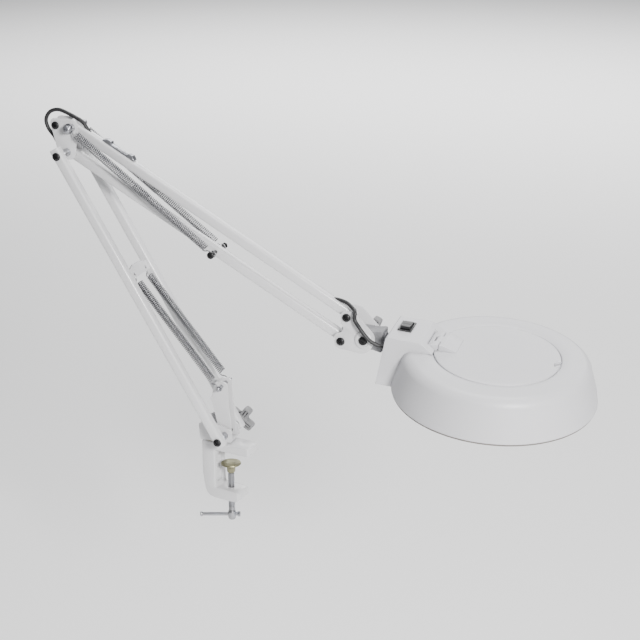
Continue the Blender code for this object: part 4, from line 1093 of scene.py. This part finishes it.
def make_lead():
    """The lamp's own lead: out of the near tube, round the elbow, along the top tube and into the neck."""
    inside = BASE_PIVOT + 0.305 * direction(LOWER_ANGLE) + Vector((0, -LOWER_TUBE_Y, 0))
    loop = [inside, BASE_PIVOT + 0.319 * direction(LOWER_ANGLE) + Vector((0, -0.0265, 0)),
            elbow_at(0.0124, -0.0214, -0.0195),
            elbow_at(0.0030, -0.0190, -0.0090), elbow_at(-0.0085, -0.0100, -0.0015),
            elbow_at(-0.0140, 0.0040), elbow_at(-0.0190, 0.0140), elbow_at(-0.0262, 0.0235),
            elbow_at(-0.0285, 0.0330), elbow_at(-0.0235, 0.0415), elbow_at(-0.0140, 0.0448),
            elbow_at(-0.0040, 0.0425), top_tube_at(0.0040, 0.0096), top_tube_at(0.0130, 0.0062),
            top_tube_at(0.0220, 0.0025), top_tube_at(0.0320, 0.0002), top_tube_at(0.044, 0)]
    radius = sizes().lead_radius
    slant = Vector((0.7071, 0, 0.7071))
    round_elbow = fresh(rod, route(loop, 0.0022), radius, ARM, 20)
    piece("lead_elbow", round_elbow, ("lower_arm", "upper_arm"), "rubber", ("lead_arm",), smooth=60,
          blend=(ARM @ (ELBOW - 0.004 * slant), ARM @ (ELBOW + 0.030 * slant)))
    over = [top_tube_at(UPPER_LENGTH - 0.034, 0.0002), top_tube_at(UPPER_LENGTH - 0.025, 0.0030),
            top_tube_at(UPPER_LENGTH - 0.0175, 0.0066), top_tube_at(UPPER_LENGTH - 0.0085, 0.0098, -0.0030),
            top_tube_at(UPPER_LENGTH + 0.0010, 0.0108, -0.0095), tilt_at(-0.0086, -0.0170, 0.0312),
            tilt_at(-0.0085, -0.0180, 0.0235), tilt_at(-0.0030, -0.0200, 0.0165),
            tilt_at(0.0028, -0.0208, 0.0095), tilt_at(0.0090, -0.0206, 0.0030),
            tilt_at(0.0165, -0.0188, -0.0014), tilt_at(0.0225, -0.0170, -0.0034),
            tilt_at(0.0300, -0.0163, -0.0044), tilt_at(0.0380, -0.0163, -0.0049)]
    path = route(over, 0.0016)
    marks = [min(range(len(path)), key=lambda i: (path[i] - over[k]).length) for k in (0, 7, 10, 13)]
    pieces = (("lead_bracket", ("upper_arm", "head_bracket"), "lead_head_a", over[3], over[6]),
              ("lead_knuckle", ("head_bracket", "knuckle"), "lead_head_b", over[7], over[10]),
              ("lead_neck", ("knuckle", "head"), "lead_head_c", over[10], over[12]))
    for i, (name, bodies, node, start, end) in enumerate(pieces):
        run = fresh(rod, path[marks[i]:marks[i + 1] + 1], radius, ARM, 20)
        piece(name, run, bodies, "rubber", (node,), smooth=60, blend=(ARM @ start, ARM @ end))


# ------------------------------------------------------------------ stage


def area_light(name, place, target, size, power, colour=(1, 1, 1)):
    """A rectangular light, aimed at a point."""
    light = bpy.data.lights.new(name, "AREA")
    light.shape = "RECTANGLE"
    light.size, light.size_y = size
    light.energy = power
    light.color = colour
    obj = add(name, light)
    obj.location = place
    obj.rotation_euler = (Vector(target) - Vector(place)).to_track_quat("-Z", "Y").to_euler()


def make_stage():
    settings = bpy.context.scene.lamp_stage
    camera = bpy.data.cameras.new("camera")
    camera.lens = settings.lens
    camera.sensor_width = 36
    obj = add("camera", camera)
    a, e = settings.azimuth, settings.elevation
    back = Vector((sin(a) * cos(e), -cos(a) * cos(e), sin(e)))
    obj.location = Vector(settings.target) + settings.distance * back
    obj.rotation_euler = (-back).to_track_quat("-Z", "Y").to_euler()
    bpy.context.scene.camera = obj
    bm = bmesh.new()
    bmesh.ops.create_grid(bm, x_segments=1, y_segments=1, size=9)
    bmesh.ops.translate(bm, vec=(0, 0, settings.floor_height), verts=bm.verts)
    mesh = mesh_of(bm, "floor")
    floor = add("floor", mesh)
    made = Finish("floor_paper")
    paper = made.mix(made.noise(3.0, 3) * 0.3, (0.95, 0.95, 0.95), (0.93, 0.93, 0.935))
    made.surface(Base_Color=paper, Roughness=0.9)
    mesh.materials.append(made.made)
    world = bpy.data.worlds.new("studio")
    world.use_nodes = True
    room = world.node_tree.nodes["Background"].inputs
    room["Color"].default_value = (0.96, 0.97, 1.0, 1)
    room["Strength"].default_value = settings.ambient
    bpy.context.scene.world = world
    area_light("key", (1.9, -1.5, 1.1), (0.15, 0, 0.12), (0.5, 0.5), 120, (1, 0.99, 0.98))
    area_light("top", (0.10, 0.50, 2.1), (0.1, 0, 0.1), (1.1, 1.1), 46)
    area_light("backdrop", (-1.5, 4.5, 2.2), (-1.5, 4.6, -0.42), (5.0, 3.0), 300)
    area_light("fill", (-1.2, -1.3, 1.5), (0.1, 0, 0.1), (1.0, 1.0), 1.5, (0.97, 0.98, 1))


# ------------------------------------------------------------------ add-on


def metres(name, description, default):
    """A length of at least 0, in metres."""
    return bpy.props.FloatProperty(name=name, description=description, default=default, min=0, precision=5,
                                   unit="LENGTH")


class LampSizes(bpy.types.PropertyGroup):
    """The sizes that can change without moving a joint."""

    lead_radius: metres("Lead", "Radius of the lead", 0.0021)
    spring_radius: metres("Spring", "Radius of a spring to the middle of its wire", 0.0040)
    spring_wire: metres("Spring wire", "Radius of the springs' wire", 0.00070)
    spring_pitch: metres("Spring pitch", "Distance from one turn of a spring to the next", 0.00212)
    thread_pitch: metres("Thread pitch", "Distance from one turn of the clamp screw's thread to the next", 0.00125)
    lens_bulge: metres("Lens bulge", "How far each face of the lens swells at its middle", 0.0036)


class LampColours(bpy.types.PropertyGroup):
    """The lamp's main colours."""

    paint: bpy.props.FloatVectorProperty(name="Paint", description="Powder coat of the arm and clamp", size=3,
                                         subtype="COLOR", default=(0.59, 0.59, 0.60), min=0, max=1)
    plastic: bpy.props.FloatVectorProperty(name="Plastic", description="Mouldings of the head", size=3,
                                           subtype="COLOR", default=(0.57, 0.57, 0.59), min=0, max=1)
    knob: bpy.props.FloatVectorProperty(name="Knob", description="Star knobs", size=3, subtype="COLOR",
                                        default=(0.20, 0.20, 0.205), min=0, max=1)
    metal: bpy.props.FloatVectorProperty(name="Plated steel", description="Screws, pins and spacers", size=3,
                                         subtype="COLOR", default=(0.34, 0.34, 0.35), min=0, max=1)


class LampStage(bpy.types.PropertyGroup):
    """The camera and the room."""

    azimuth: bpy.props.FloatProperty(name="Azimuth", description="Camera's turn round the lamp", unit="ROTATION",
                                     default=radians(28.4))
    elevation: bpy.props.FloatProperty(name="Elevation", description="Camera's height angle", unit="ROTATION",
                                       default=radians(19))
    distance: bpy.props.FloatProperty(name="Distance", description="Camera to target", unit="LENGTH", default=1.6)
    lens: bpy.props.FloatProperty(name="Lens", description="Focal length", unit="CAMERA", default=83.3)
    target: bpy.props.FloatVectorProperty(name="Target", description="Point the camera looks at", size=3,
                                          subtype="TRANSLATION", unit="LENGTH", default=(0.1253, 0.0221, 0.1651))
    floor_height: bpy.props.FloatProperty(name="Floor", description="Height of the floor", unit="LENGTH",
                                          default=-0.42)
    ambient: bpy.props.FloatProperty(name="Ambient", description="Strength of the room's light", default=0.22)


def operator(name, label, doc, *makers):
    """An operator class that runs its makers in turn."""

    def execute(self, context):
        for maker in makers:
            maker()
        return {"FINISHED"}

    fields = {"__doc__": doc, "bl_idname": "lamp." + name, "bl_label": label, "bl_options": {"REGISTER"},
              "execute": execute}
    return type("LAMP_OT_" + name, (bpy.types.Operator,), fields)


OPERATORS = (
    operator("stage", "Stage", "Adds the camera, the floor and the lights", make_stage),
    operator("clamp", "Clamp", "Builds the clamp frame", make_clamp),
    operator("clamp_screw", "Clamp screw", "Builds the pad, the screw and its bar", make_clamp_screw),
    operator("base", "Swivel base", "Builds the bracket, the lever and the base knob", make_base),
    operator("lower_arm", "Lower arm", "Builds the two lower tubes, their bridge and their springs", make_lower_arm,
             make_lower_springs),
    operator("elbow", "Elbow", "Builds the elbow plates and bolts", make_elbow),
    operator("upper_arm", "Upper arm", "Builds the two upper tubes and their springs", make_upper_arm,
             make_upper_springs),
    operator("head_bracket", "Head bracket", "Builds the bracket, the boss and the knuckle", make_head_bracket,
             make_knuckle),
    operator("head", "Head", "Builds the head's mouldings and switch", make_head, make_switch),
    operator("optics", "Lens and cover", "Builds the lens, the diffuser and the lens cover", make_optics,
             make_lens_cover),
    operator("lead", "Lead", "Builds the lead", make_lead),
)


class LAMP_PT_panel(bpy.types.Panel):
    """Lists the lamp's settings and pieces."""

    bl_label = "Magnifying Lamp"
    bl_idname = "LAMP_PT_panel"
    bl_space_type = "VIEW_3D"
    bl_region_type = "UI"
    bl_category = "Lamp"

    def draw(self, context):
        for group in (context.scene.lamp_sizes, context.scene.lamp_colours, context.scene.lamp_stage):
            for name in group.__annotations__:
                self.layout.prop(group, name)
        for made in OPERATORS:
            self.layout.operator(made.bl_idname)


CLASSES = (LampSizes, LampColours, LampStage, *OPERATORS, LAMP_PT_panel)


def register():
    for made in CLASSES:
        bpy.utils.register_class(made)
    bpy.types.Scene.lamp_sizes = bpy.props.PointerProperty(type=LampSizes)
    bpy.types.Scene.lamp_colours = bpy.props.PointerProperty(type=LampColours)
    bpy.types.Scene.lamp_stage = bpy.props.PointerProperty(type=LampStage)


def unregister():
    del bpy.types.Scene.lamp_stage
    del bpy.types.Scene.lamp_colours
    del bpy.types.Scene.lamp_sizes
    for made in reversed(CLASSES):
        bpy.utils.unregister_class(made)


def main():
    register()
    for made in OPERATORS:
        getattr(bpy.ops.lamp, made.bl_idname.split(".")[1])()


if __name__ == "__main__":
    main()
